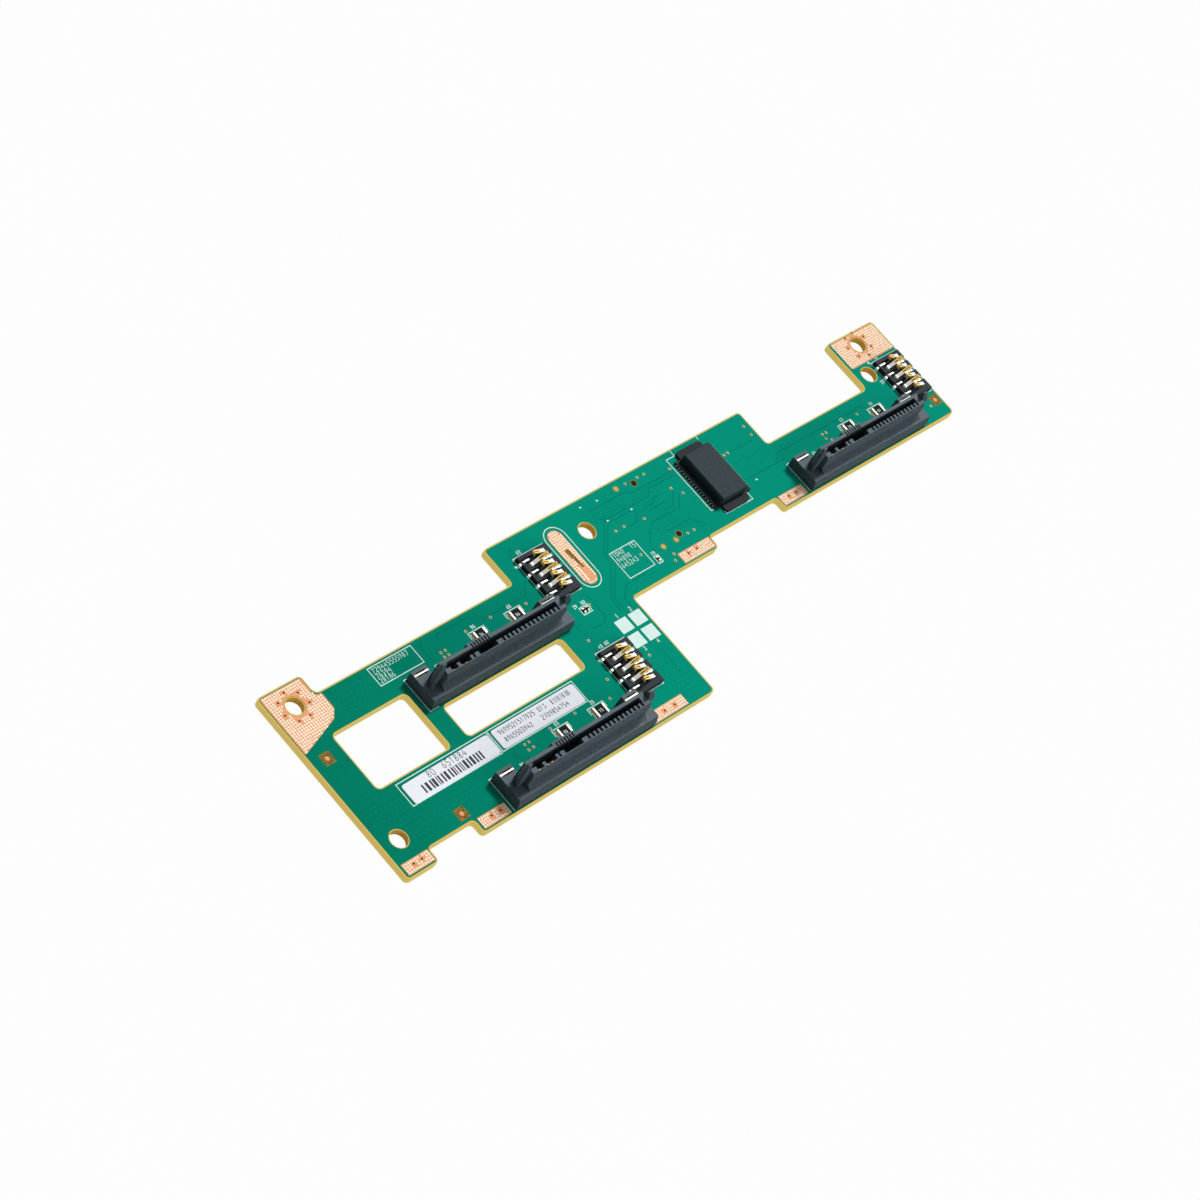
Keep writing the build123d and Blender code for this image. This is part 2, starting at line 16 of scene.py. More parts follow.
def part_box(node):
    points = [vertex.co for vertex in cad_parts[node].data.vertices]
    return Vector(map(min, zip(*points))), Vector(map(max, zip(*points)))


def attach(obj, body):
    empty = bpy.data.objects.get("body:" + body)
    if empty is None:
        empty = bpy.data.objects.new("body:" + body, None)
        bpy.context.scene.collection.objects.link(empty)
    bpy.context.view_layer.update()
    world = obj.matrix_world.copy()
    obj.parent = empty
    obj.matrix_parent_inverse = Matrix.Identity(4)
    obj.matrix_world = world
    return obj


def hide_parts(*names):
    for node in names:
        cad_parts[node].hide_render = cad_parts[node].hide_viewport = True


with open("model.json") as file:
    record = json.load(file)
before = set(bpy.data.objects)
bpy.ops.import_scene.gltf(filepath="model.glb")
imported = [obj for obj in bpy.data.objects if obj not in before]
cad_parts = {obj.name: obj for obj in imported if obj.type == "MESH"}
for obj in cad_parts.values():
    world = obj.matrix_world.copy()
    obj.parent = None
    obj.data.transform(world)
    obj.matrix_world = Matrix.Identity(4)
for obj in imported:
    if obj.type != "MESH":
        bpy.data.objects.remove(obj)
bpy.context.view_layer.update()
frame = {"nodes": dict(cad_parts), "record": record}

# %% [markdown]
# Every place on the board was measured in millimetres from one survey point on its top, 87.75 mm
# from the left end and 32.95 mm from the near edge, so all plan points below use that point.

# %% Survey point and units
MM = 0.001
board_low, board_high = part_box("circuit_board")
TOP = board_high.z / MM
SURVEY = np.array([board_low.x / MM + 87.75, board_low.y / MM + 32.95, TOP])
print("board top at", round(TOP, 3), "mm, survey point at", SURVEY.round(3))

# %% [markdown]
# A thin layer with holes, such as solder mask, is a flat sheet: its plan is cut into triangles,
# the copy below is turned over, and walls join the two. Line print and copper use it as well.

# %% Flat sheets, offsets and printed lines


def anticlockwise(loop):
    """The shoelace sum of x·y' - x'·y is positive for a loop that runs anticlockwise."""
    x, y = loop.T
    return np.sum(x * np.roll(y, -1) - np.roll(x, -1) * y) > 0


def inside(points, loop):
    """A point is inside when a line to its right crosses the loop an odd number of times."""
    x, y = points[:, 0, None], points[:, 1, None]
    x0, y0 = loop.T
    x1, y1 = np.roll(loop, -1, axis=0).T
    level = (y0 > y) != (y1 > y)
    span = np.where(y1 == y0, 1, y1 - y0)
    crossing = x < x0 + (y - y0) * (x1 - x0) / span
    return (level & crossing).sum(axis=1) % 2 == 1


def plate(loops, bottom, top, hole_slot=0, routed=1):
    """A sheet between two heights, inside the first loop and outside the others.
    Outer loops run anticlockwise and holes clockwise, so each wall faces away from the sheet.
    Walls of the first routed loops keep slot 0, and those of the others get the hole slot."""
    turned_loops = [
        loop if anticlockwise(loop) == (index == 0) else loop[::-1]
        for index, loop in enumerate(loops)
    ]
    plan = np.concatenate(turned_loops)
    ends = np.cumsum([len(loop) for loop in turned_loops])
    here = np.arange(len(plan))
    following = here + 1
    following[ends - 1] = np.r_[0, ends[:-1]]
    edges = np.stack([here, following], 1)
    cut = delaunay_2d_cdt([Vector(p) for p in plan.tolist()], edges.tolist(), [], 1, 1e-6)
    if len(cut[0]) != len(plan):
        raise ValueError("loops of a sheet touch each other")
    caps = np.array(cut[2])
    middles = plan[caps].mean(axis=1)
    caps = caps[sum(inside(middles, loop) for loop in turned_loops) % 2 == 1]
    a, b, c = plan[caps[:, 0]], plan[caps[:, 1]], plan[caps[:, 2]]
    cross = (b - a)[:, 0] * (c - a)[:, 1] - (b - a)[:, 1] * (c - a)[:, 0]
    caps = np.where(cross[:, None] > 0, caps, caps[:, ::-1])
    count = len(plan)
    walls = np.stack([here, following, following + count, here + count], 1)
    points = np.concatenate([np.c_[plan, np.full(count, bottom)], np.c_[plan, np.full(count, top)]])
    faces = caps[:, ::-1].tolist() + (caps + count).tolist() + walls.tolist()
    wall_slots = np.where(here < ends[routed - 1], 0, hole_slot)
    slots = np.r_[np.zeros(2 * len(caps), int), wall_slots]
    return points, faces, slots


def mitres(ahead, behind):
    """The sideways step at a corner is the sum of both unit normals over one plus their product."""
    ahead = ahead / np.linalg.norm(ahead, axis=1, keepdims=True)
    behind = behind / np.linalg.norm(behind, axis=1, keepdims=True)
    normal_a = np.c_[-ahead[:, 1], ahead[:, 0]]
    normal_b = np.c_[-behind[:, 1], behind[:, 0]]
    return (normal_a + normal_b) / (1 + np.sum(normal_a * normal_b, axis=1))[:, None]


def inset(loop, distance):
    """A closed loop moved inwards by a distance along its mitres; a negative one moves it outwards."""
    loop = loop if anticlockwise(loop) else loop[::-1]
    ahead = np.roll(loop, -1, axis=0) - loop
    return loop + distance * mitres(ahead, np.roll(ahead, 1, axis=0))


def ribbon(points, width):
    """An open line given a width: its left side forwards, then its right side backwards."""
    points = np.array(points, float)
    steps = np.diff(points, axis=0)
    sideways = mitres(np.vstack([steps, steps[-1]]), np.vstack([steps[0], steps])) * width / 2
    return np.concatenate([points + sideways, (points - sideways)[::-1]])


def rectangle(left, near, right, far):
    return np.array([(left, near), (right, near), (right, far), (left, far)], float)


def stadium(left, near, right, far, sides=24):
    """A slot shape along Y: two half circles whose radius is half the width."""
    radius = (right - left) / 2
    angle = np.linspace(0, np.pi, sides)
    middle = (left + right) / 2
    upper = np.c_[middle + radius * np.cos(angle), far - radius + radius * np.sin(angle)]
    lower = np.c_[middle - radius * np.cos(angle), near + radius - radius * np.sin(angle)]
    return np.concatenate([upper, lower])


def copies(centres, rings, peak, base, sides=10, band_slots=None):
    """One turned shape at many centres: each ring is a circle of its own radius and height,
    bands join the rings, one face closes the bottom and a fan meets at the peak."""
    centres = np.array(centres, float)
    radius, height = np.array(rings, float).T
    angle = np.arange(sides) * 2 * np.pi / sides
    x = centres[:, 0, None, None] + radius[None, :, None] * np.cos(angle)
    y = centres[:, 1, None, None] + radius[None, :, None] * np.sin(angle)
    z = np.broadcast_to(base + height[None, :, None], x.shape)
    rims = np.stack([x, y, z], -1).reshape(-1, 3)
    tops = np.c_[centres, np.full(len(centres), base + peak)]
    index = np.arange(len(rims)).reshape(len(centres), len(radius), sides)
    following = np.roll(index, -1, axis=2)
    band = [index[:, :-1], following[:, :-1], following[:, 1:], index[:, 1:]]
    bands = np.stack(band, -1).reshape(-1, 4)
    poles = np.broadcast_to(len(rims) + np.arange(len(centres))[:, None], (len(centres), sides))
    fans = np.stack([index[:, -1], following[:, -1], poles], -1).reshape(-1, 3)
    floors = index[:, 0, ::-1]
    by_ring = np.zeros(len(radius), int) if band_slots is None else np.array(band_slots)
    band_row = np.tile(np.repeat(by_ring[:-1], sides), len(centres))
    slots = np.r_[band_row, np.full(len(fans), by_ring[-1]), np.full(len(floors), by_ring[0])]
    return np.concatenate([rims, tops]), bands.tolist() + fans.tolist() + floors.tolist(), slots


def piece(name, parts, finishes):
    """Joins parts into one mesh, puts it in its place and lets it ride on the board."""
    counts = np.cumsum([0] + [len(points) for points, _, _ in parts])
    points = (np.concatenate([points for points, _, _ in parts]) + SURVEY) * MM
    faces = [
        [vertex + start for vertex in face]
        for (_, part_faces, _), start in zip(parts, counts.tolist())
        for face in part_faces
    ]
    mesh = bpy.data.meshes.new(name)
    mesh.from_pydata(points.tolist(), [], faces)
    for finish in finishes:
        mesh.materials.append(finish)
    mesh.polygons.foreach_set("material_index", np.concatenate([slots for _, _, slots in parts]))
    mesh.update()
    made = bpy.data.objects.new(name, mesh)
    bpy.context.scene.collection.objects.link(made)
    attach(made, "root")
    print(name, len(faces), "faces")
    return made


# %% [markdown]
# Colours are written as sRGB hex, as a colour picker shows them, and one function turns them
# linear. Patterns take their scale from a real size in millimetres on Object coordinates.

# %% Colours and nodes
LOW_GLOSS = 0.1


def linear(hex_colour):
    """Each channel c becomes c/12.92 below 0.04045 and ((c+0.055)/1.055)^2.4 above."""
    channels = np.array([int(hex_colour[i : i + 2], 16) for i in (1, 3, 5)]) / 255
    curve = np.where(channels <= 0.04045, channels / 12.92, ((channels + 0.055) / 1.055) ** 2.4)
    return (*curve.tolist(), 1.0)


def add(tree, kind, settings, links=()):
    """Adds a node. A setting is an input's value or the node's own; a link joins an output to an input."""
    node = tree.nodes.new("ShaderNode" + kind)
    for key, value in settings.items():
        if isinstance(key, int) or key in node.inputs:
            node.inputs[key].default_value = value
        else:
            setattr(node, key, value)
    for key, output in links:
        tree.links.new(output, node.inputs[key])
    return node


def per_size(millimetres):
    """Scale of a pattern on Object coordinates, which are metres, for a feature of that size."""
    return 1 / (millimetres * MM)


def ramp(tree, factor, stops):
    """A colour ramp through (place, hex colour) stops."""
    node = add(tree, "ValToRGB", {}, [("Fac", factor)])
    elements = node.color_ramp.elements
    while len(elements) < len(stops):
        elements.new(0.5)
    for element, (place, colour) in zip(elements, stops):
        element.position = place
        element.color = linear(colour)
    return node.outputs["Color"]


def blank(name, settings):
    """A new material with the given settings on its shader, and the object's own coordinates."""
    made = bpy.data.materials.new(name)
    made.use_nodes = True
    tree = made.node_tree
    shader = tree.nodes["Principled BSDF"]
    shader.inputs["Specular IOR Level"].default_value = LOW_GLOSS
    for key, value in settings.items():
        shader.inputs[key.replace("_", " ")].default_value = value
    return made, tree, shader, add(tree, "TexCoord", {}).outputs["Object"]


def finish(name, stops, grain, relief=0.0, relief_size=0.2, **settings):
    """A material whose colour wanders through stops in patches of one grain size, with fine relief."""
    made, tree, shader, place = blank(name, settings)
    patches = add(tree, "TexNoise", {"Scale": per_size(grain), "Detail": 3.0}, [("Vector", place)])
    tree.links.new(ramp(tree, patches.outputs["Fac"], stops), shader.inputs["Base Color"])
    if relief:
        pattern = {"Scale": per_size(relief_size), "Detail": 2.0}
        bumps = add(tree, "TexNoise", pattern, [("Vector", place)])
        depth = {"Strength": relief, "Distance": 0.02 * MM}
        bump = add(tree, "Bump", depth, [("Height", bumps.outputs["Fac"])])
        tree.links.new(bump.outputs["Normal"], shader.inputs["Normal"])
    return made


def graded(name, stops, axis, low, high, grain, grain_share, **settings):
    """A material whose colour runs through stops between two places in mm along one axis.
    The place on the ramp is (1 - g)·t + g·noise, where t goes from 0 to 1 and g is the grain's share."""
    made, tree, shader, place = blank(name, settings)
    along = add(tree, "SeparateXYZ", {}, [("Vector", place)]).outputs[axis]
    span = {"From Min": low * MM, "From Max": high * MM, "To Max": 1.0 - grain_share}
    run = add(tree, "MapRange", span, [("Value", along)]).outputs["Result"]
    noise = add(tree, "TexNoise", {"Scale": per_size(grain), "Detail": 3.0}, [("Vector", place)])
    mix = [(0, noise.outputs["Fac"]), (2, run)]
    spread = add(tree, "Math", {"operation": "MULTIPLY_ADD", 1: grain_share}, mix)
    tree.links.new(ramp(tree, spread.outputs[0], stops), shader.inputs["Base Color"])
    return made


# %% [markdown]
# Each finish is named for what it is, painted light included. Glass-epoxy laminate is tan at its routed
# edges, paler towards its underside, and browner in drilled walls; both carry a painted glow, an emission
# that stands in for light from the surroundings. Solder mask is a smooth ink with a slight gloss.

# %% Board finishes
UNDERSIDE = -TOP
# Painted glow: the emission makes the routed edges look lit by light from the surroundings
laminate = graded(
    "routed_glass_epoxy_painted_glow",
    [(0.0, "#A4A284"), (0.5, "#7C7640"), (1.0, "#6E6420")],
    2,
    TOP + UNDERSIDE,
    TOP,
    0.6,
    0.25,
    Roughness=0.75,
    Emission_Color=linear("#F1D272"),
    Emission_Strength=0.58,
)
# Painted glow: the emission makes the drilled walls look lit
drilled = finish(
    "drilled_glass_epoxy_painted_glow",
    [(0.35, "#B08C38"), (0.65, "#C8A250")],
    0.5,
    0.3,
    0.15,
    Roughness=0.8,
    Emission_Color=linear("#D2A848"),
    Emission_Strength=0.22,
)
MASK_LEFT = -104.0
MASK_RIGHT = -10.0
mask_settings = {"Roughness": 0.6, "Specular_IOR_Level": 0.005}
mask = graded(
    "green_solder_mask",
    [(0.1, "#00785F"), (0.9, "#00927A")],
    0,
    MASK_LEFT,
    MASK_RIGHT,
    9.0,
    0.3,
    **mask_settings,
)
mask_raised = graded(
    "solder_mask_over_copper",
    [(0.1, "#007E64"), (0.9, "#00967E")],
    0,
    MASK_LEFT,
    MASK_RIGHT,
    0.5,
    0.2,
    **mask_settings,
)
# Painted shade: a darker copy of the mask for the grooves by the signal lines and for the tented vias
mask_painted_shade = graded(
    "solder_mask_painted_groove_shade",
    [(0.1, "#006E56"), (0.9, "#007D68")],
    0,
    MASK_LEFT,
    MASK_RIGHT,
    0.5,
    0.2,
    **mask_settings,
)
legend = finish("printed_legend_ink", [(0.3, "#CDE9E2"), (0.7, "#E4F6F2")], 0.3, Roughness=0.7)
bare = finish("bare_laminate_window", [(0.4, "#5A4414"), (0.6, "#A0802E")], 0.22, Roughness=0.7)
copper_stops = [(0.3, "#DE9868"), (0.7, "#EAAC80")]
copper = finish("bare_copper", copper_stops, 0.4, 0.2, 0.2, Metallic=0.1, Roughness=0.75)
# Metal that shows only in small spots: thin plating with a dull surface
spot_settings = {"Metallic": 0.1, "Roughness": 0.7}
solder = finish("solder_dots", [(0.3, "#F8E0C8"), (0.7, "#FFEEDA")], 0.3, **spot_settings)
pit = finish("plated_hole_shadow", [(0.3, "#160F08"), (0.7, "#2A1E12")], 0.2, Roughness=0.8)
ring_tin = finish("via_ring", [(0.3, "#C4A272"), (0.7, "#E6CFA6")], 0.2, **spot_settings)
aged_gold = finish("aged_gold", [(0.3, "#A09646"), (0.7, "#C6BE78")], 0.2, **spot_settings)
aged_rim = finish("aged_gold_rim", [(0.3, "#6E6A20"), (0.7, "#8C8434")], 0.2, **spot_settings)

# %% [markdown]
# The connectors are moulded in filled thermoplastic with a fine mould texture; contacts are tin
# plated and their tips are gold plated, so the spring finish turns from tin to gold with height.

# %% Connector finishes
housing = finish(
    "moulded_liquid_crystal_polymer",
    [(0.3, "#3D4B52"), (0.7, "#506068")],
    0.5,
    0.4,
    0.2,
    Roughness=0.55,
    Specular_IOR_Level=0.15,
)
black = {"Roughness": 0.6, "Specular_IOR_Level": 0.08}
stack_stops = [(0.3, "#161B1E"), (0.7, "#20262A")]
stack_plastic = finish("moulded_connector_black", stack_stops, 0.5, 0.4, 0.2, **black)
tray_stops = [(0.3, "#20272C"), (0.7, "#2E363C")]
tray_plastic = finish("moulded_tray_black", tray_stops, 0.4, 0.4, 0.2, **black)
# Painted shade: the floor finish is darker than the tray and stands in for the shade deep in the channels
painted_shade_floor_stops = [(0.3, "#0B0D0F"), (0.7, "#15191C")]
shaded_tray_floor = finish("moulded_tray_floor_painted_shade", painted_shade_floor_stops, 0.4, 0.4, 0.2, **black)
cap_stops = [(0.3, "#223035"), (0.7, "#2B3A40")]
cap_plastic = finish("moulded_cap", cap_stops, 0.6, 0.3, 0.3, **black)
coat = {"Roughness": 0.6, "Specular_IOR_Level": 0.03}
coat_stops = [(0.3, "#121214"), (0.7, "#202023")]
chip = finish("fired_resistor_coat", coat_stops, 0.3, 0.2, 0.2, **coat)
# Tin and gold plate are thin and matt here, so they count as half metal
plated = {"Metallic": 0.5, "Roughness": 0.6}
# Painted shade: the stack contacts' tails are tin darkened to stand in for the shadow cast over them
shaded_tin_tails = finish("tin_tail_painted_shade", [(0.3, "#4E5456"), (0.7, "#71787A")], 0.3, **plated)
tin = finish("matt_tin_plate", [(0.3, "#C8C2B2"), (0.7, "#EAE4D6")], 0.3, 0.2, 0.2, **plated)
gold = finish("gold_plate", [(0.3, "#D9A23C"), (0.7, "#F0BE62")], 0.3, **plated)
paper = finish("label_paper", [(0.3, "#E6EBF3"), (0.7, "#F0F3F9")], 0.4, 0.3, 0.1, Roughness=0.8)
label_ink = finish("label_ink", [(0.3, "#262B31"), (0.7, "#383F47")], 0.2, Roughness=0.6)

SPRING_GOLD_FROM = 1.95
SPRING_GOLD_FULL = 2.35
spring = graded(
    "tin_to_gold_spring",
    [(0.0, "#EAECEA"), (0.4, "#F6E8B4"), (1.0, "#FFD570")],
    2,
    TOP + SPRING_GOLD_FROM,
    TOP + SPRING_GOLD_FULL,
    0.3,
    0.1,
    Metallic=0.3,
    Roughness=0.5,
)

finishes = {
    "bare_copper": copper,
    "label_paper": paper,
    "housing_plastic": housing,
    "gold_contact": gold,
    "tinned_metal": tin,
    "chip_black": chip,
    "connector_plastic": stack_plastic,
    "cap_plastic": cap_plastic,
    "solder_mask": mask,
}
slot_of = {row["node"]: row["material_slot"] for row in frame["record"]["subparts"]}
special = {
    "left_springs": spring,
    "right_springs": spring,
    "spring_housing": tray_plastic,
    # The stack contacts take the darkened tin, painted shade
    "stack_left": shaded_tin_tails,
    "stack_right": shaded_tin_tails,
}
for name, node in frame["nodes"].items():
    node.data.materials.clear()
    starts = [start for start in special if name.startswith(start)]
    node.data.materials.append(special[starts[0]] if starts else finishes[slot_of[name]])

# %% [markdown]
# The laminate, its top mask and its bottom mask are three sheets. Their loops are read from the
# packed board's top face, so that they fit it exactly, and the mask stops short of each edge.

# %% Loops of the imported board


def face_loops(node, height):
    """Loops round a node's flat face: sides that only one of its triangles has, chained in order."""
    mesh = frame["nodes"][node].data
    points = np.zeros(len(mesh.vertices) * 3, np.float32)
    mesh.vertices.foreach_get("co", points)
    points = points.reshape(-1, 3) / MM
    corners = np.zeros(len(mesh.loops), np.int32)
    mesh.loops.foreach_get("vertex_index", corners)
    triangles = corners.reshape(-1, 3)
    triangles = triangles[(abs(points[triangles][:, :, 2] - height) < 0.001).all(axis=1)]
    plan, same = np.unique(points[:, :2].round(4), axis=0, return_inverse=True)
    triangles = same.reshape(-1)[triangles]
    sides = np.concatenate([triangles[:, [0, 1]], triangles[:, [1, 2]], triangles[:, [2, 0]]])
    forwards = sides[:, 0] * len(plan) + sides[:, 1]
    backwards = sides[:, 1] * len(plan) + sides[:, 0]
    rim = sides[~np.isin(forwards, backwards)]
    following = dict(rim.tolist())
    loops = []
    while following:
        start, chain = next(iter(following)), []
        while start in following:
            chain.append(start)
            start = following.pop(start)
        loops.append(plan[chain] - SURVEY[:2])
    return sorted(loops, key=lambda loop: -np.ptp(loop[:, 0]))


outline, right_window, left_window, *holes = face_loops("circuit_board", TOP)
print("board loops:", len(outline), len(right_window), len(left_window), [len(hole) for hole in holes])

# %% Laminate and masks
EDGE_MARGIN = 0.32
WINDOW_MARGIN = 0.3
HOLE_MARGIN = 0.2
MASK_THICKNESS = 0.03
PRINT_THICKNESS = 0.02
INK_THICKNESS = 0.008


def mask_loops():
    windows = [inset(window, -WINDOW_MARGIN) for window in (left_window, right_window)]
    return [inset(outline, EDGE_MARGIN), *windows, *[inset(hole, -HOLE_MARGIN) for hole in holes]]


board_loops = [outline, left_window, right_window, *holes]
core = piece(
    "laminate",
    [plate(board_loops, UNDERSIDE + MASK_THICKNESS, 0, hole_slot=1, routed=3)],
    [laminate, drilled],
)
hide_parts("circuit_board")
piece("mask_top", [plate(mask_loops(), 0, MASK_THICKNESS)], [mask])
lower_mask = plate(mask_loops(), UNDERSIDE, UNDERSIDE + MASK_THICKNESS)
piece("mask_underside", [lower_mask], [mask])

# %% [markdown]
# Each spring contact is one strip of metal: foot, neck, round bend and raised arm with a slit, and
# its end hooks over. The neck dives into the tray floor. The arcs follow centre + r·(cos t, sin t).

# %% Spring contacts
BAYS = {"a": (-56.3, -5.95), "b": (-56.3, -32.3), "c": (67.1, -5.95)}
TRAY_START = 43.2
TRAY_LENGTH = 8.8
MIDDLE_ROW = 13.02
ROW_PITCH = 1.47
ROWS = 7
STRIP_THICKNESS = 0.15
FOOT_START = 0.15
RISER = 1.1
ARM_HEIGHT = 0.525
BEND = (6.85, 0.975, 0.45)
NOSE = (3.15, 2.85, 0.3)
HOOK_END = (3.45, 1.9)
LEAVE_ANGLE = 120
HOOK_ANGLE = 215
ARM_HALF_WIDTH = 0.42
NECK_HALF_WIDTH = 0.2
SLIT_HALF_WIDTH = 0.13
SLIT_FROM = 0.42
SLIT_TO = 0.93
NECK_LINE = [(RISER, ARM_HEIGHT), (2.9, ARM_HEIGHT), (3.1, 0.3), (6.0, 0.3), (6.2, ARM_HEIGHT)]


def arc(x, z, radius, start, end, steps=8):
    angle = np.radians(np.linspace(start, end, steps + 1))
    return np.c_[x + radius * np.cos(angle), z + radius * np.sin(angle)]


def standing(part, origin, turned):
    """A sheet drawn in X and Z stood up at its origin; a turned one is mirrored along X."""
    points, faces, slots = part
    x, z, y = points.T
    x = TRAY_LENGTH - x if turned else x
    placed = np.c_[x, y, z] + (*origin, 0)
    return placed, faces if turned else [face[::-1] for face in faces], slots


def spring_parts(origin, turned):
    """The foot, the neck in the tray floor, the rising arm with its two prongs, and the hook."""
    sole = STRIP_THICKNESS / 2
    foot = np.array([(FOOT_START, sole), (RISER, sole), (RISER, ARM_HEIGHT)])
    bend = arc(*BEND, -90, LEAVE_ANGLE)
    nose = arc(*NOSE, LEAVE_ANGLE, HOOK_ANGLE)
    slit_from = bend[-1] + SLIT_FROM * (nose[0] - bend[-1])
    slit_to = bend[-1] + SLIT_TO * (nose[0] - bend[-1])
    rising = np.vstack([NECK_LINE[-1], bend, slit_from])
    prong = np.vstack([slit_from, slit_to])
    hook = np.vstack([slit_to, nose, HOOK_END])
    spans = [
        (foot, -ARM_HALF_WIDTH, ARM_HALF_WIDTH),
        (np.array(NECK_LINE), -NECK_HALF_WIDTH, NECK_HALF_WIDTH),
        (rising, -ARM_HALF_WIDTH, ARM_HALF_WIDTH),
        (prong, -ARM_HALF_WIDTH, -SLIT_HALF_WIDTH),
        (prong, SLIT_HALF_WIDTH, ARM_HALF_WIDTH),
        (hook, -ARM_HALF_WIDTH, ARM_HALF_WIDTH),
    ]
    sheets = [plate([ribbon(line, STRIP_THICKNESS)], near, far) for line, near, far in spans]
    return [standing(sheet, origin, turned) for sheet in sheets]


def row_place(row):
    return MIDDLE_ROW + (row - (ROWS - 1) / 2) * ROW_PITCH


for bay, (bay_x, bay_y) in BAYS.items():
    for first_row, side, turned in ((0, "left", False), (1, "right", True)):
        springs = []
        for row in range(first_row, ROWS, 2):
            springs += spring_parts((bay_x + TRAY_START, bay_y + row_place(row)), turned)
        strips = piece(f"{side}_strips_{bay}", springs, [spring])
        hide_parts(f"{side}_springs_{bay}")

# %% [markdown]
# The fine contacts of the second port end in bright tips that curl towards the slot, one in front
# of each cell of the bulge. Each tip is a short strip bent in Y and Z.

# %% Tips of the second port's contacts
PORT_FIRST = 13.0
PORT_PITCH = 0.8
PORT_CONTACTS = 7
TIP_HALF_WIDTH = 0.13
TIP_LINE = [(5.15, 5.7), (4.95, 6.1), (4.86, 6.5), (4.95, 6.85)]


def port_tip(x, y):
    """A strip drawn in Y and Z and drawn out along X, at one cell of a drive connector."""
    points, faces, slots = plate([ribbon(TIP_LINE, STRIP_THICKNESS)], -TIP_HALF_WIDTH, TIP_HALF_WIDTH)
    return points[:, [2, 0, 1]] + (x, y, 0), faces, slots


for bay, (bay_x, bay_y) in BAYS.items():
    places = bay_x + PORT_FIRST + PORT_PITCH * np.arange(PORT_CONTACTS)
    piece(f"port_tips_{bay}", [port_tip(x, bay_y) for x in places], [gold])

# %% [markdown]
# The trays are open combs. In the floor only the feet have notches; above it each row is a deep
# channel, which opens on the left for rows 1, 3, 5 and 7 and on the right for rows 2, 4 and 6. The
# floor layer has a near-black finish that is painted shade for the deep channels.

# %% Spring trays
TRAY_NEAR = 6.75
TRAY_FAR = 18.85
CHANNEL_HALF = 0.46
FOOT_NOTCH = 1.35
CHANNEL_NOTCH = 7.5
TRAY_FLOOR = 0.4
TRAY_TOP = 1.1
TRAY_BEVEL = 0.08


def comb(depth):
    """The tray's plan with a notch of that depth for each row, on the side where its foot is."""
    loop = [(0, TRAY_NEAR), (TRAY_LENGTH, TRAY_NEAR)]
    for row in range(1, ROWS, 2):
        near, far = row_place(row) - CHANNEL_HALF, row_place(row) + CHANNEL_HALF
        inner = TRAY_LENGTH - depth
        loop += [(TRAY_LENGTH, near), (inner, near), (inner, far), (TRAY_LENGTH, far)]
    loop += [(TRAY_LENGTH, TRAY_FAR), (0, TRAY_FAR)]
    for row in range(ROWS - 1, -1, -2):
        near, far = row_place(row) - CHANNEL_HALF, row_place(row) + CHANNEL_HALF
        loop += [(0, far), (depth, far), (depth, near), (0, near)]
    return np.array(loop, float)


for bay, (bay_x, bay_y) in BAYS.items():
    low_comb = comb(FOOT_NOTCH) + (bay_x + TRAY_START, bay_y)
    high_comb = comb(CHANNEL_NOTCH) + (bay_x + TRAY_START, bay_y)
    points, faces, slots = plate([low_comb], 0, TRAY_FLOOR)
    layers = [
        # The floor layer takes the near-black finish, painted shade in the channels
        (points, faces, slots + 1),
        plate([high_comb], TRAY_FLOOR, TRAY_TOP - TRAY_BEVEL),
        plate([inset(high_comb, TRAY_BEVEL)], TRAY_TOP - TRAY_BEVEL, TRAY_TOP),
    ]
    packed = f"spring_housing_{bay}"
    tray = piece(f"comb_tray_{bay}", layers, [tray_plastic, shaded_tray_floor])
    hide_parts(packed)

# %% [markdown]
# The copper lands are tinned in a fine grid of dots, 0.65 by 0.61 mm apart, and stay plain round
# screw holes and plated holes. Each dot is a low dome of a few dozen faces.

# %% Solder dots on the lands
DOT_PITCH_X = 0.65
DOT_PITCH_Y = 0.61
LAND_TOP = 0.06
DOT_RINGS = [(0.28, 0.0), (0.27, 0.02), (0.19, 0.035)]
DOT_PEAK = 0.04
DOT_SIDES = 8
DOT_INSET = 0.2


def dot_grid(loop, keep_out):
    """Grid points inside a loop drawn in a little, and outside each (x, y, radius) disc."""
    low, high = loop.min(axis=0), loop.max(axis=0)
    columns = max(int((high[0] - low[0]) / DOT_PITCH_X), 1)
    rows = max(int((high[1] - low[1]) / DOT_PITCH_Y), 1)
    x = (low[0] + high[0]) / 2 + (np.arange(columns) - (columns - 1) / 2) * DOT_PITCH_X
    y = (low[1] + high[1]) / 2 + (np.arange(rows) - (rows - 1) / 2) * DOT_PITCH_Y
    grid = np.stack(np.meshgrid(x, y), -1).reshape(-1, 2)
    kept = inside(grid, inset(loop, DOT_INSET))
    for disc_x, disc_y, radius in keep_out:
        kept &= np.hypot(grid[:, 0] - disc_x, grid[:, 1] - disc_y) > radius
    return grid[kept]


def land_loops(node):
    """Outer loops of a group of lands, each by its own connected rim."""
    return face_loops(node, TOP + LAND_TOP)


EDGE_PITS = [
    (-84.2, -30.7), (-81.9, -30.7), (-61.9, -30.65), (-59.35, -30.65), (-9.0, -30.9),
    (-5.8, -30.9), (26.0, -4.3), (28.85, -4.3), (60.7, -4.4), (63.0, -4.5),
]
FAR_LEFT_HOLE = (-81.55, 8.45)
FAR_RIGHT_HOLE = (111.2, 18.7)
STITCH_RADIUS = 3.45
PLAIN_ROUND_HOLE = 2.75
PLAIN_ROUND_PIT = 0.72
SMALLEST_LAND = 5


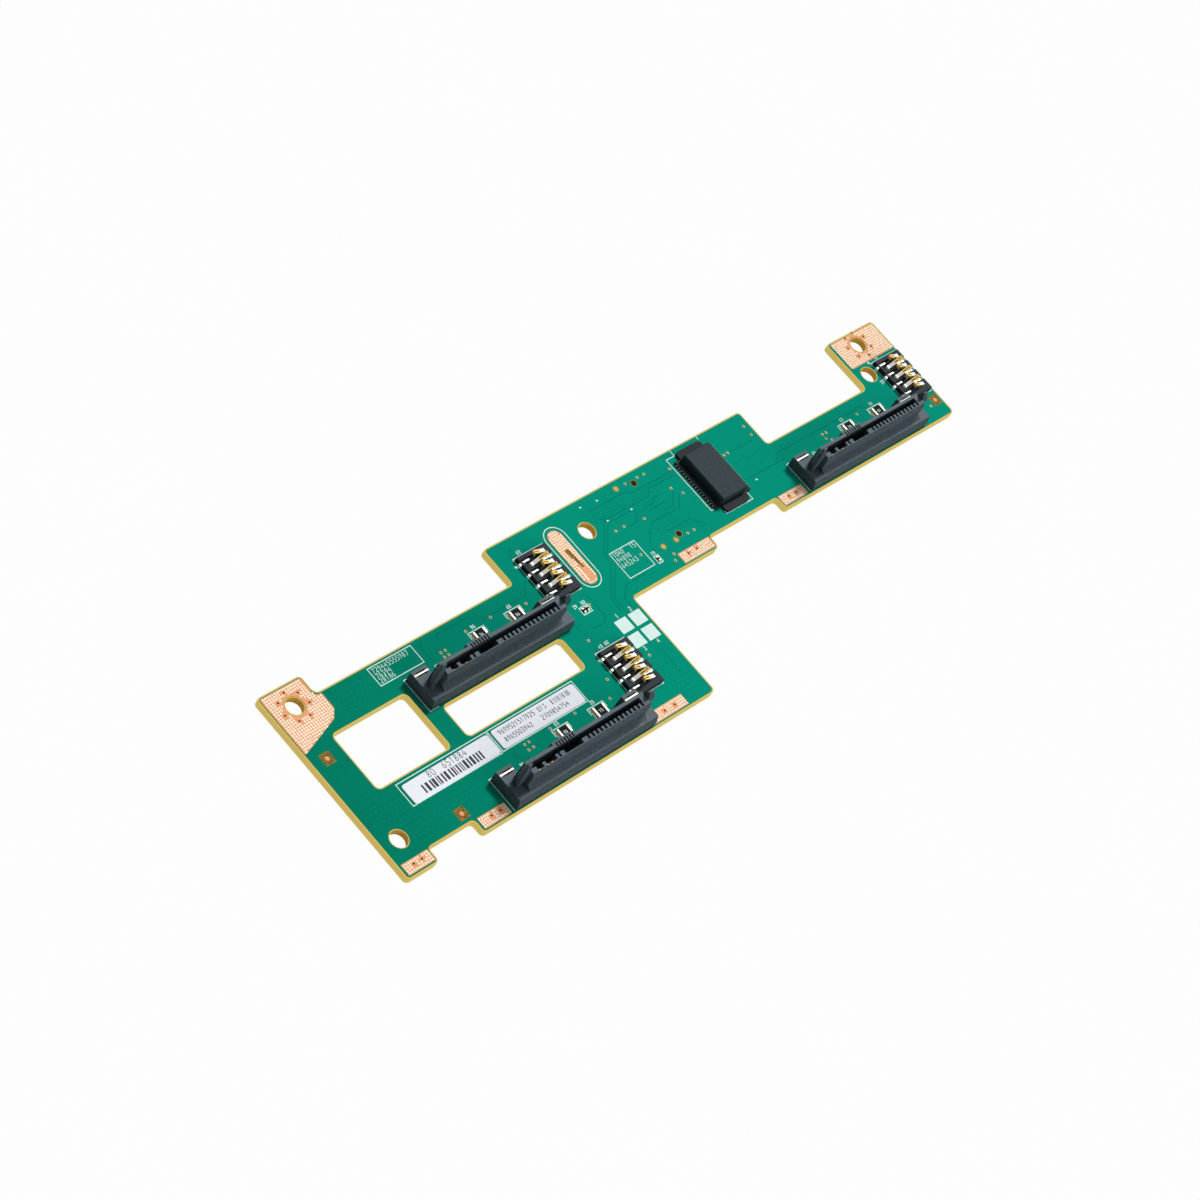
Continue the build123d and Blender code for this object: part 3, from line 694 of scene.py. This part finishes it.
def stitches(centre, first_angle):
    """Seven plated holes on a circle round a screw hole."""
    angle = np.radians(first_angle + np.arange(7) * 360 / 7)
    return [
        (float(centre[0] + STITCH_RADIUS * c), float(centre[1] + STITCH_RADIUS * s))
        for c, s in zip(np.cos(angle), np.sin(angle))
    ]


land_pits = EDGE_PITS + stitches(FAR_LEFT_HOLE, 90) + stitches(FAR_RIGHT_HOLE, 123)
plain = [(x, y, PLAIN_ROUND_PIT) for x, y in land_pits]
plain += [(x, y, PLAIN_ROUND_HOLE) for x, y in (FAR_LEFT_HOLE, FAR_RIGHT_HOLE)]
dots = []
for node in ("corner_lands", "edge_lands"):
    for loop in land_loops(node):
        if np.ptp(loop[:, 0]) > SMALLEST_LAND:
            dots.append(dot_grid(loop, plain))
SMEAR = stadium(-1.3, 0.4, 1.3, 5.7)
SLIT = np.array(
    [(-0.5, 9.5), (-0.62, 8.9), (0.1, 4.4), (0.7, 4.4), (0.62, 6.5), (0.45, 9.2), (0.2, 9.55)]
)
SLIT_MARGIN = 0.15
SMEAR_MARGIN = 0.35
jumper_dots = dot_grid(land_loops("jumper_land")[0], [])
in_slit = inside(jumper_dots, inset(SLIT, -SLIT_MARGIN))
in_smear = inside(jumper_dots, inset(SMEAR, SMEAR_MARGIN))
dots.append(jumper_dots[~in_slit & ~in_smear])
all_dots = np.concatenate(dots)
dot_domes = copies(all_dots, DOT_RINGS, DOT_PEAK, LAND_TOP, DOT_SIDES)
piece("solder_dots", [dot_domes], [solder])
print("solder dots:", len(all_dots))

# %% [markdown]
# Plated holes are pits with a ring of bare metal. The same turned shape serves for the small
# holes in the lands, the vias in the mask and the larger test pads, with its own rings each time.

# %% Plated holes and test pads
VIAS = [
    (-43.55, -21.85), (-42.25, -21.8), (-43.6, -23.2), (-42.2, -23.2), (-35.7, -21.7), (-44.5, 3.35),
    (-43.2, 3.35), (-44.5, 2.2), (-43.25, 2.2), (-35.85, 4.75), (-28.0, -21.6), (-18.2, -22.75),
    (-15.35, -19.0), (-12.2, -9.9), (-28.3, 4.8), (-18.5, 3.6), (-2.05, -19.15), (-5.4, -3.4),
    (14.3, 7.85), (17.0, 7.85), (23.05, 7.2), (22.65, -2.85), (21.7, -4.3), (15.2, 0.6),
    (25.65, 16.1), (29.6, 16.05), (31.7, 16.0), (29.9, -0.35), (31.95, -0.4), (35.05, 10.25),
    (36.9, 8.05), (38.7, 14.2), (54.1, 11.05), (55.4, 11.05), (82.0, 4.1), (83.3, 4.1),
    (82.0, 2.9), (83.2, 2.0), (64.8, 14.6), (64.9, 12.1), (95.0, 4.3), (115.5, -2.7),
]
TEST_PADS = [(22.5, 16.05), (21.75, -0.3), (25.95, -0.35)]
OPEN_HOLES = [(27.65, 15.25), (27.75, 0.5)]
ROUND_SIDES = 24
VIA_SIDES = 14
PIT_SIDES = 12
via_rings = [(0.34, 0.0), (0.34, 0.012), (0.17, 0.014), (0.15, 0.004)]
pad_rings = [(0.8, 0.0), (0.8, 0.008), (0.6, 0.01), (0.58, 0.03)]
open_rings = [(0.88, 0.0), (0.88, 0.01), (0.7, 0.012), (0.66, 0.002)]
pit_rings = [(0.24, 0.0), (0.24, 0.01), (0.2, 0.012)]
piece(
    "vias",
    [copies(VIAS, via_rings, 0.002, MASK_THICKNESS, VIA_SIDES, [0, 0, 1, 1])],
    [ring_tin, pit],
)
piece(
    "test_pads",
    [
        copies(TEST_PADS, pad_rings, 0.03, MASK_THICKNESS, ROUND_SIDES, [1, 1, 0, 0]),
        copies(OPEN_HOLES, open_rings, 0.001, MASK_THICKNESS, ROUND_SIDES, [1, 1, 2, 2]),
    ],
    [aged_gold, aged_rim, pit],
)
piece("land_pits", [copies(land_pits, pit_rings, 0.004, LAND_TOP, PIT_SIDES)], [pit])

# %% [markdown]
# Between the two halves of the long land runs a slit down to bare laminate, and a smear of
# solder bridges the rest of it. The smear is a low mound, and a thin raised streak on top in pale solder
# colour is a painted highlight.

# %% Slit, solder smear and placing marks
SMEAR_STEPS = [(0.0, 0.01), (0.12, 0.03), (0.3, 0.04)]
STREAK_HEIGHT = 0.08
SLIT_HEIGHT = 0.05
smear = [plate([inset(SMEAR, step)], LAND_TOP, LAND_TOP + rise) for step, rise in SMEAR_STEPS]
piece("solder_smear", smear, [copper])
# Painted highlight: the pale streak stands in for the glint on the smear
highlight_streak = stadium(-1.2, 1.2, -0.7, 5.0)
piece("solder_streak_painted_highlight", [plate([highlight_streak], LAND_TOP, LAND_TOP + STREAK_HEIGHT)], [solder])
piece("land_slit", [plate([SLIT], LAND_TOP, LAND_TOP + SLIT_HEIGHT)], [bare])

MARK_HALF = 1.38
MARK_HEIGHT = 0.005
MARKS = [(-83.75, -4.0), (-67.25, -27.2), (118.05, -1.85)]
mark_squares = [
    rectangle(x - MARK_HALF, y - MARK_HALF, x + MARK_HALF, y + MARK_HALF) for x, y in MARKS
]
mark_parts = [
    plate([square], MASK_THICKNESS, MASK_THICKNESS + MARK_HEIGHT) for square in mark_squares
]
piece("placing_marks", mark_parts, [bare])
mark_rings = [(0.52, 0.0), (0.5, 0.02)]
mark_dots = copies(MARKS, mark_rings, 0.02, MASK_THICKNESS, ROUND_SIDES)
piece("placing_dots", [mark_dots], [copper])

# %% [markdown]
# Copper under the mask shows through it. Signal lines leave faint grooves beside them, whose shade is painted
# as darker green ribbons along the lines, and bare stretches carry a field of round copper dots in rows 1.19
# mm apart, every other row shifted.

# %% Copper that shows through the mask
TRACE_WIDTH = 0.22
TRACE_HEIGHT = 0.004
TRACES = [
    [(14.5, 10.8), (13.5, 10.8), (7.2, 4.5), (7.2, 2.3), (0.2, -4.7), (0.2, -8.0)],
    [(13.7, 9.9), (8.1, 4.3), (8.1, 2.0), (1.2, -4.9), (1.2, -8.0)],
    [(12.8, -3.5), (6.6, -3.5), (5.6, -3.9), (3.3, -6.2), (3.3, -8.2)],
    [(22.5, 4.8), (18.9, 1.2), (18.9, -0.6)],
    [(21.4, 10.2), (14.9, 10.2)],
    [(22.5, 9.4), (20.6, 7.3), (17.8, 7.3)],
    [(35.0, 9.5), (32.2, 6.7), (29.5, 6.7)],
    [(35.7, 8.2), (32.5, 5.0)],
    [(31.5, 10.2), (28.8, 10.2), (27.9, 9.3), (24.8, 9.3)],
    [(31.6, 8.3), (25.8, 8.3)],
    [(32.7, 5.6), (24.2, 5.6), (22.9, 4.3)],
    [(35.8, -0.6), (33.0, 2.2), (26.0, 2.2), (25.3, 2.9)],
    [(38.5, 12.6), (30.0, 12.6), (28.5, 11.1), (13.9, 11.1), (12.5, 12.5), (12.5, 14.0)],
    [(38.5, 13.6), (25.0, 13.6), (24.1, 14.5), (12.0, 14.5)],
    [(63.7, 10.9), (54.5, 10.9)],
    [(67.7, 3.6), (54.5, 3.6)],
    [(98.0, 5.5), (67.0, 5.5), (65.6, 4.1)],
    [(-11.7, 15.8), (-13.4, 14.1), (-13.4, 9.0), (-17.2, 5.2), (-30.0, 5.2)],
    [(-4.9, -0.8), (-4.1, -1.6), (-4.1, -7.1), (-5.3, -8.3), (-8.3, -8.3), (-9.2, -7.4)],
    [(-12.2, -5.3), (-12.2, -8.0), (-11.4, -9.0)],
    [(0.7, -18.9), (1.7, -19.9), (1.7, -25.0), (0.8, -25.9)],
    [(-46.0, 8.2), (-47.6, 6.6), (-47.6, 3.4)],
    [(-33.2, 7.2), (-42.0, 7.2), (-43.0, 6.2)],
    [(-44.6, -24.6), (-46.2, -24.6), (-47.0, -23.8), (-47.0, -22.2)],
    [(93.0, 4.3), (90.0, 1.4), (88.6, 1.4)],
]
# Painted shade: darker green sheets stand in for the shade of the grooves
groove_shade_sheets = [
    plate([ribbon(points, TRACE_WIDTH)], MASK_THICKNESS, MASK_THICKNESS + TRACE_HEIGHT)
    for points in TRACES
]
piece("mask_groove_painted_shade", groove_shade_sheets, [mask_painted_shade])

DOT_COLUMN_PITCH = 1.28
DOT_ROW_PITCH = 1.19
FIELD_DOT_RADIUS = 0.34
FIELD_MARGIN = 0.5
FIELD_FROM_EDGE = 1.6
FIELD_FROM_WINDOW = 1.4
LEFT_FIELD = [
    (-86.2, -28.2), (-71.5, -28.2), (-58.5, -28.2), (-58.5, -22.0), (-76.2, -22.0),
    (-76.2, -13.5), (-86.2, -13.5),
]
FIELDS = [
    np.array(LEFT_FIELD),
    rectangle(-73.4, 1.2, -62.6, 8.4),
    rectangle(-4.6, -31.0, 4.2, -23.8),
]
CLEAR_DISCS = [(-83.0, -25.0, 2.8), (-67.25, -27.2, 2.0), (-83.75, -4.0, 2.0)]
field_dots = []
for field in FIELDS:
    low, high = field.min(axis=0), field.max(axis=0)
    rows = int((high[1] - low[1]) / DOT_ROW_PITCH)
    columns = int((high[0] - low[0]) / DOT_COLUMN_PITCH)
    for row in range(rows):
        for column in range(columns):
            across = column * DOT_COLUMN_PITCH + DOT_COLUMN_PITCH / 2 * (row % 2)
            field_dots.append((across, row * DOT_ROW_PITCH) + low + FIELD_MARGIN)
field_dots = np.array(field_dots)
kept = sum(inside(field_dots, field) for field in FIELDS) > 0
kept &= inside(field_dots, inset(outline, FIELD_FROM_EDGE))
for window in (left_window, right_window):
    kept &= ~inside(field_dots, inset(window, -FIELD_FROM_WINDOW))
for disc_x, disc_y, radius in CLEAR_DISCS:
    kept &= np.hypot(field_dots[:, 0] - disc_x, field_dots[:, 1] - disc_y) > radius
field_rings = [(FIELD_DOT_RADIUS, 0.0), (FIELD_DOT_RADIUS - 0.05, 0.008)]
piece(
    "mask_dot_field",
    [copies(field_dots[kept], field_rings, 0.008, MASK_THICKNESS, PIT_SIDES)],
    [mask_raised],
)

TENTED_ROWS = [
    (10.5, 33.5, 12.0, 26), (12.0, 30.0, 11.6, 14), (28.0, 36.5, 13.2, 12), (9.5, 20.0, 13.1, 9),
    (24.0, 34.0, 3.6, 8), (54.6, 64.5, 8.0, 12), (54.6, 62.0, 5.6, 9), (70.0, 78.0, 6.4, 6),
]
random = np.random.default_rng(11)
tented = [
    (float(x + random.uniform(-0.25, 0.25)), float(y + random.uniform(-0.3, 0.3)))
    for left, right, y, count in TENTED_ROWS
    for x in np.linspace(left, right, count)
]
# The tented vias are small discs in the same painted shade
piece(
    "tented_vias",
    [copies(tented, [(0.17, 0.0), (0.15, 0.006)], 0.003, MASK_THICKNESS, 10)],
    [mask_painted_shade],
)

# %% [markdown]
# The legend is white ink printed in lines about 0.2 mm wide: an outline round each connector,
# boxes, part marks and dots. Rows of print are plain digits, and the four squares have numbers.

# %% Printed legend
LINE = 0.2
DIGITS = {
    "0": [
        [(0.35, 1.2), (0.1, 1.1), (0, 0.85), (0, 0.35), (0.1, 0.1), (0.35, 0)],
        [(0.35, 1.2), (0.6, 1.1), (0.7, 0.85), (0.7, 0.35), (0.6, 0.1), (0.35, 0)],
    ],
    "1": [[(0.1, 0.95), (0.35, 1.2), (0.35, 0)]],
    "2": [
        [(0, 1.0), (0.2, 1.2), (0.5, 1.2), (0.7, 1.0), (0.7, 0.75), (0.05, 0.08)],
        [(0, 0), (0.75, 0)],
    ],
    "3": [[(0, 1.2), (0.6, 1.2), (0.35, 0.75), (0.7, 0.45), (0.6, 0.1), (0.3, 0), (0, 0.15)]],
    "4": [[(0.45, 1.2), (0, 0.4), (0.75, 0.4)], [(0.55, 0.8), (0.55, 0)]],
    "5": [
        [(0.65, 1.2), (0.1, 1.2), (0.05, 0.7), (0.5, 0.7), (0.7, 0.5), (0.7, 0.2), (0.5, 0), (0, 0.05)],
    ],
    "6": [
        [(0.6, 1.2), (0.2, 0.9), (0, 0.5), (0.05, 0.15), (0.35, 0), (0.65, 0.15), (0.65, 0.5), (0.3, 0.65)],
    ],
    "7": [[(0, 1.2), (0.7, 1.2), (0.25, 0)]],
    "8": [
        [(0.35, 1.2), (0.08, 1.05), (0.1, 0.75), (0.6, 0.5), (0.65, 0.15), (0.35, 0)],
        [(0.35, 1.2), (0.62, 1.05), (0.6, 0.75), (0.1, 0.5), (0.05, 0.15), (0.35, 0)],
    ],
    "9": [
        [(0.1, 0), (0.5, 0.3), (0.7, 0.7), (0.65, 1.05), (0.35, 1.2), (0.05, 1.05), (0.05, 0.7), (0.4, 0.55)],
    ],
}
DIGIT_HEIGHT = 1.2
DIGIT_PITCH = 0.95
DIGIT_WIDTH = 0.82
random = np.random.default_rng(7)
printed = []


def print_sheet(loops):
    printed.append(plate(loops, MASK_THICKNESS, MASK_THICKNESS + PRINT_THICKNESS))


def print_line(points, width=LINE):
    print_sheet([ribbon(points, width)])


def print_ring(loop, width=LINE):
    print_sheet([inset(loop, -width / 2), inset(loop, width / 2)])


def digit_strokes(text, left, base, height, line):
    """Plain digits from straight strokes, drawn 1.2 high: x·width + index·pitch, all times the size."""
    size = height / DIGIT_HEIGHT
    strokes = []
    for index, digit in enumerate(text):
        for stroke in DIGITS[digit]:
            x, y = np.array(stroke).T
            across = left + (index * DIGIT_PITCH + x * DIGIT_WIDTH) * size
            strokes.append(ribbon(np.c_[across, base + y * size], line))
    return strokes


def print_digits(text, left, base, height, line=0.17):
    for stroke in digit_strokes(text, left, base, height, line):
        print_sheet([stroke])


def plain_number(count):
    """A row of digits drawn at random, which stand for no real number."""
    return "".join(str(digit) for digit in random.integers(0, 10, count))


for bay, (x, y) in BAYS.items():
    corner = [(x - 0.25, y + 0.05), (x - 0.25, y + 8.05), (x + 1.0, y + 8.05)]
    print_line([(x + 2.4, y - 0.18), (x - 0.25, y - 0.18), *corner[1:]] if bay == "a" else corner)
    print_ring(rectangle(x + 43.0, y + 6.55, x + 52.15, y + 19.2))
    for middle in (22.75, 33.7):
        left, right, far = x + middle - 2.4, x + middle + 2.4, y + 9.97
        print_line([(left, y + 8.5), (left, far), (right, far), (right, y + 8.5)])
        print_digits(plain_number(2), left + 1.8, far + 0.45, 0.8)
    print_digits(plain_number(2), x + 8.3, y + 6.9, 0.7, 0.14)
    print_digits(plain_number(2), x + 45.0, y + 19.6, 0.8)

BOXES = [
    (-61.85, 3.4, -49.4, 7.85), (8.35, -2.8, 16.4, 4.1), (-75.2, -20.95, -49.3, -15.5),
    (-48.9, -20.8, -23.15, -15.45), (-8.4, -4.75, -5.75, -2.95), (17.55, -3.1, 18.9, -1.2),
]
for box in BOXES:
    print_ring(rectangle(*box))
SQUARE_WIDTH = 3.55
SQUARE_DEPTH = 3.25
for left in (-3.55, 0.85):
    for near in (-12.55, -16.65):
        print_sheet([rectangle(left, near, left + SQUARE_WIDTH, near + SQUARE_DEPTH)])
BOX_ROWS = [
    (-61.2, 6.35, 12), (-61.2, 5.05, 5), (-61.2, 3.8, 5), (8.9, 2.75, 4), (14.4, 2.75, 2),
    (8.9, 1.3, 5), (8.9, -0.2, 6),
]
for left, y, count in BOX_ROWS:
    print_digits(plain_number(count), left, y, 1.1, 0.12)
print_ring(stadium(-3.0, -0.65, 2.75, 15.6), 0.22)
print_line([(39.7, 1.55), (39.6, 16.3), (42.35, 16.3), (42.35, 17.85)])
print_line([(39.7, 1.4), (42.7, 1.4), (42.7, -0.88), (51.7, -0.88), (51.7, 1.2)])
print_line([(51.35, 17.9), (51.35, 17.0)])
for left, y in ((-9.4, -2.6), (-6.9, -2.6), (17.6, -0.9), (-9.4, -12.6), (108.2, 7.6)):
    print_digits(plain_number(2), left, y, 0.8)
for x, y in ((11, 16.2), (16, 15.8), (14.5, 10.7), (22, 10.4), (56.6, 2.5)):
    print_line([(x - 0.3, y), (x + 0.3, y)], 0.3)
for digit, x, y in (("1", -1.95, -8.95), ("2", 2.25, -8.95), ("3", -1.95, -17.9), ("4", 2.35, -17.9)):
    print_digits(digit, x, y, 0.95)
piece("legend", printed, [legend])
dot_places = [(-14.0, 11.5), (-13.65, -14.65), (109.6, 13.6)]
legend_dots = copies(dot_places, [(0.33, 0.0), (0.33, 0.02)], 0.02, MASK_THICKNESS, 20)
piece("legend_dots", [legend_dots], [legend])

# %% [markdown]
# Each chip sits on two tinned pads that reach past its ends, and the coat of each larger resistor carries a
# pale number.

# %% Pads and marks of the chips
PAD_TOP = 0.05
RESISTOR_Y = 8.3
RESISTOR_TOP = 0.55
SMALL_CHIPS = [(-7.75, -3.85), (-6.6, -3.85), (18.2, -2.1)]
pads = []
marks = []
for x, y in BAYS.values():
    for middle in (22.8, 33.75):
        cx, cy = x + middle, y + RESISTOR_Y
        for side in (-1, 1):
            left, right = sorted((cx + side * 1.5, cx + side * 2.12))
            pads.append(plate([rectangle(left, cy - 1.2, right, cy + 1.2)], MASK_THICKNESS, PAD_TOP))
        for stroke in digit_strokes(plain_number(2), cx - 0.5, cy - 0.35, 0.7, 0.12):
            marks.append(plate([stroke], RESISTOR_TOP, RESISTOR_TOP + INK_THICKNESS))
for cx, cy in SMALL_CHIPS:
    for side in (-1, 1):
        near, far = sorted((cy + side * 0.45, cy + side * 0.66))
        pads.append(plate([rectangle(cx - 0.24, near, cx + 0.24, far)], MASK_THICKNESS, PAD_TOP))
piece("chip_pads", pads, [tin])
piece("chip_marks", marks, [legend])

# %% [markdown]
# The two paper labels carry dark print in bars and rows of plain digits, as thin sheets of ink.

# %% Print on the labels
LABEL_TOP = 0.1
BAR_GAPS = [0.25, 0.4, 0.55]


def bars(left, right, near, far, widths):
    """Upright bars of uneven width with uneven gaps between them."""
    shapes = []
    while left < right:
        width = float(random.choice(widths))
        shapes.append(rectangle(left, near, left + width, far))
        left += width + float(random.choice(BAR_GAPS))
    return shapes


ink_shapes = bars(-70.6, -53.4, -20.1, -18.1, [0.25, 0.45, 0.7])
ink_shapes += bars(-31.0, -25.6, -17.75, -16.5, [0.15, 0.25])
LABEL_STROKE = 0.14
LABEL_ROWS = [
    (-67.6, -17.75, 2, 1.5), (-63.2, -17.65, 6, 1.5), (-46.8, -17.6, 13, 1.05),
    (-35.0, -17.6, 3, 1.05), (-46.6, -19.5, 10, 1.05), (-35.6, -19.5, 10, 1.05),
]
for left, base, count, height in LABEL_ROWS:
    ink_shapes += digit_strokes(plain_number(count), left, base, height, LABEL_STROKE)
label_parts = [plate([shape], LABEL_TOP, LABEL_TOP + INK_THICKNESS) for shape in ink_shapes]
piece("label_print", label_parts, [label_ink])

# %% [markdown]
# A pale table, an even sky, a soft key lamp from the right and behind, and a weak lamp from the
# near side light the board. Both lamps are suns with wide discs, so their shadows are soft.

# %% Table, sky and lamps


def seen_rays(tree):
    """The ray kinds, and a factor that is 1 for rays from the camera or through a clear thing."""
    rays = add(tree, "LightPath", {})
    kinds = [(0, rays.outputs["Is Camera Ray"]), (1, rays.outputs["Is Transmission Ray"])]
    return rays, add(tree, "Math", {"operation": "MAXIMUM"}, kinds)


TABLE_WHITE = 0.97
TABLE_SIZE = 6
TABLE_GAP = 0.0001
pale = bpy.data.materials.new("pale_table")
pale.use_nodes = True
tree = pale.node_tree
tree.nodes.clear()
rays, seen = seen_rays(tree)
share = add(tree, "Math", {"operation": "MULTIPLY", 1: TABLE_WHITE}, [(0, seen.outputs[0])])
place = add(tree, "TexCoord", {}).outputs["Object"]
grain = add(tree, "TexNoise", {"Scale": per_size(40.0)}, [("Vector", place)]).outputs["Fac"]
table_colour = ramp(tree, grain, [(0.3, "#BEBEBE"), (0.7, "#C4C4C4")])
lit = add(tree, "BsdfDiffuse", {}, [("Color", table_colour)])
white = add(tree, "Emission", {"Color": (1, 1, 1, 1), "Strength": 1.0})
sides = [("Fac", share.outputs[0]), (1, lit.outputs[0]), (2, white.outputs[0])]
mixed = add(tree, "MixShader", {}, sides)
add(tree, "OutputMaterial", {}, [("Surface", mixed.outputs[0])])

bpy.ops.mesh.primitive_plane_add(size=TABLE_SIZE, location=(0, 0, -TABLE_GAP))
table = bpy.context.object
table.name = "table"
table.data.materials.append(pale)

SKY = 0.17
SKY_LOW = 0.1
SKY_HIGH = 0.7
KEY = 3.1
FILL = 1.0
world = bpy.data.worlds.new("even_sky")
bpy.context.scene.world = world
world.use_nodes = True
tree = world.node_tree
tree.nodes.clear()
rays, seen = seen_rays(tree)
direction = add(tree, "TexCoord", {}).outputs["Generated"]
height = add(tree, "SeparateXYZ", {}, [("Vector", direction)]).outputs["Z"]
sky_span = {"To Min": SKY_LOW, "To Max": SKY_HIGH}
mirrored = add(tree, "MapRange", sky_span, [("Value", height)]).outputs["Result"]
reflected = add(tree, "Background", {"Color": (1, 1, 1, 1)}, [("Strength", mirrored)])
fill = add(tree, "Background", {"Color": (1, 1, 1, 1), "Strength": SKY})
kinds = [("Fac", rays.outputs["Is Glossy Ray"]), (1, fill.outputs[0]), (2, reflected.outputs[0])]
around = add(tree, "MixShader", {}, kinds)
backdrop = add(tree, "Background", {"Color": (1, 1, 1, 1), "Strength": 1.0})
sides = [("Fac", seen.outputs[0]), (1, around.outputs[0]), (2, backdrop.outputs[0])]
mixed = add(tree, "MixShader", {}, sides)
add(tree, "OutputWorld", {}, [("Surface", mixed.outputs[0])])


def add_lamp(name, azimuth, elevation, strength, disc):
    """A sun whose rays come from that azimuth and elevation, all in degrees."""
    around_z, upwards = math.radians(azimuth), math.radians(elevation)
    level = math.cos(upwards)
    to_lamp = Vector((level * math.cos(around_z), level * math.sin(around_z), math.sin(upwards)))
    data = bpy.data.lights.new(name, "SUN")
    data.energy = strength
    data.angle = math.radians(disc)
    lamp = bpy.data.objects.new(name, data)
    lamp.rotation_euler = to_lamp.to_track_quat("Z", "Y").to_euler()
    bpy.context.scene.collection.objects.link(lamp)


add_lamp("soft_key", 20, 45, KEY, 14)
add_lamp("near_fill", -75, 25, FILL, 50)

# %% [markdown]
# The camera stands where the photographer's stood: its place, turn and lens were fitted to the
# board's straight edges. The view transform is Standard, so colours come out as written.

# %% Camera
SENSOR_WIDTH = 36.0
FOCAL_LENGTH = 111.148
CAMERA_PLACE = (-0.529960, -0.163763, 0.547523)
CAMERA_TURN = (38.62911956, -24.21479547, -44.89863162)
camera_data = bpy.data.cameras.new("camera")
camera_data.sensor_width = SENSOR_WIDTH
camera_data.lens = FOCAL_LENGTH
camera = bpy.data.objects.new("camera", camera_data)
camera.location = CAMERA_PLACE
camera.rotation_euler = Euler([math.radians(angle) for angle in CAMERA_TURN])
bpy.context.scene.collection.objects.link(camera)
bpy.context.scene.camera = camera
bpy.context.scene.view_settings.view_transform = "Standard"
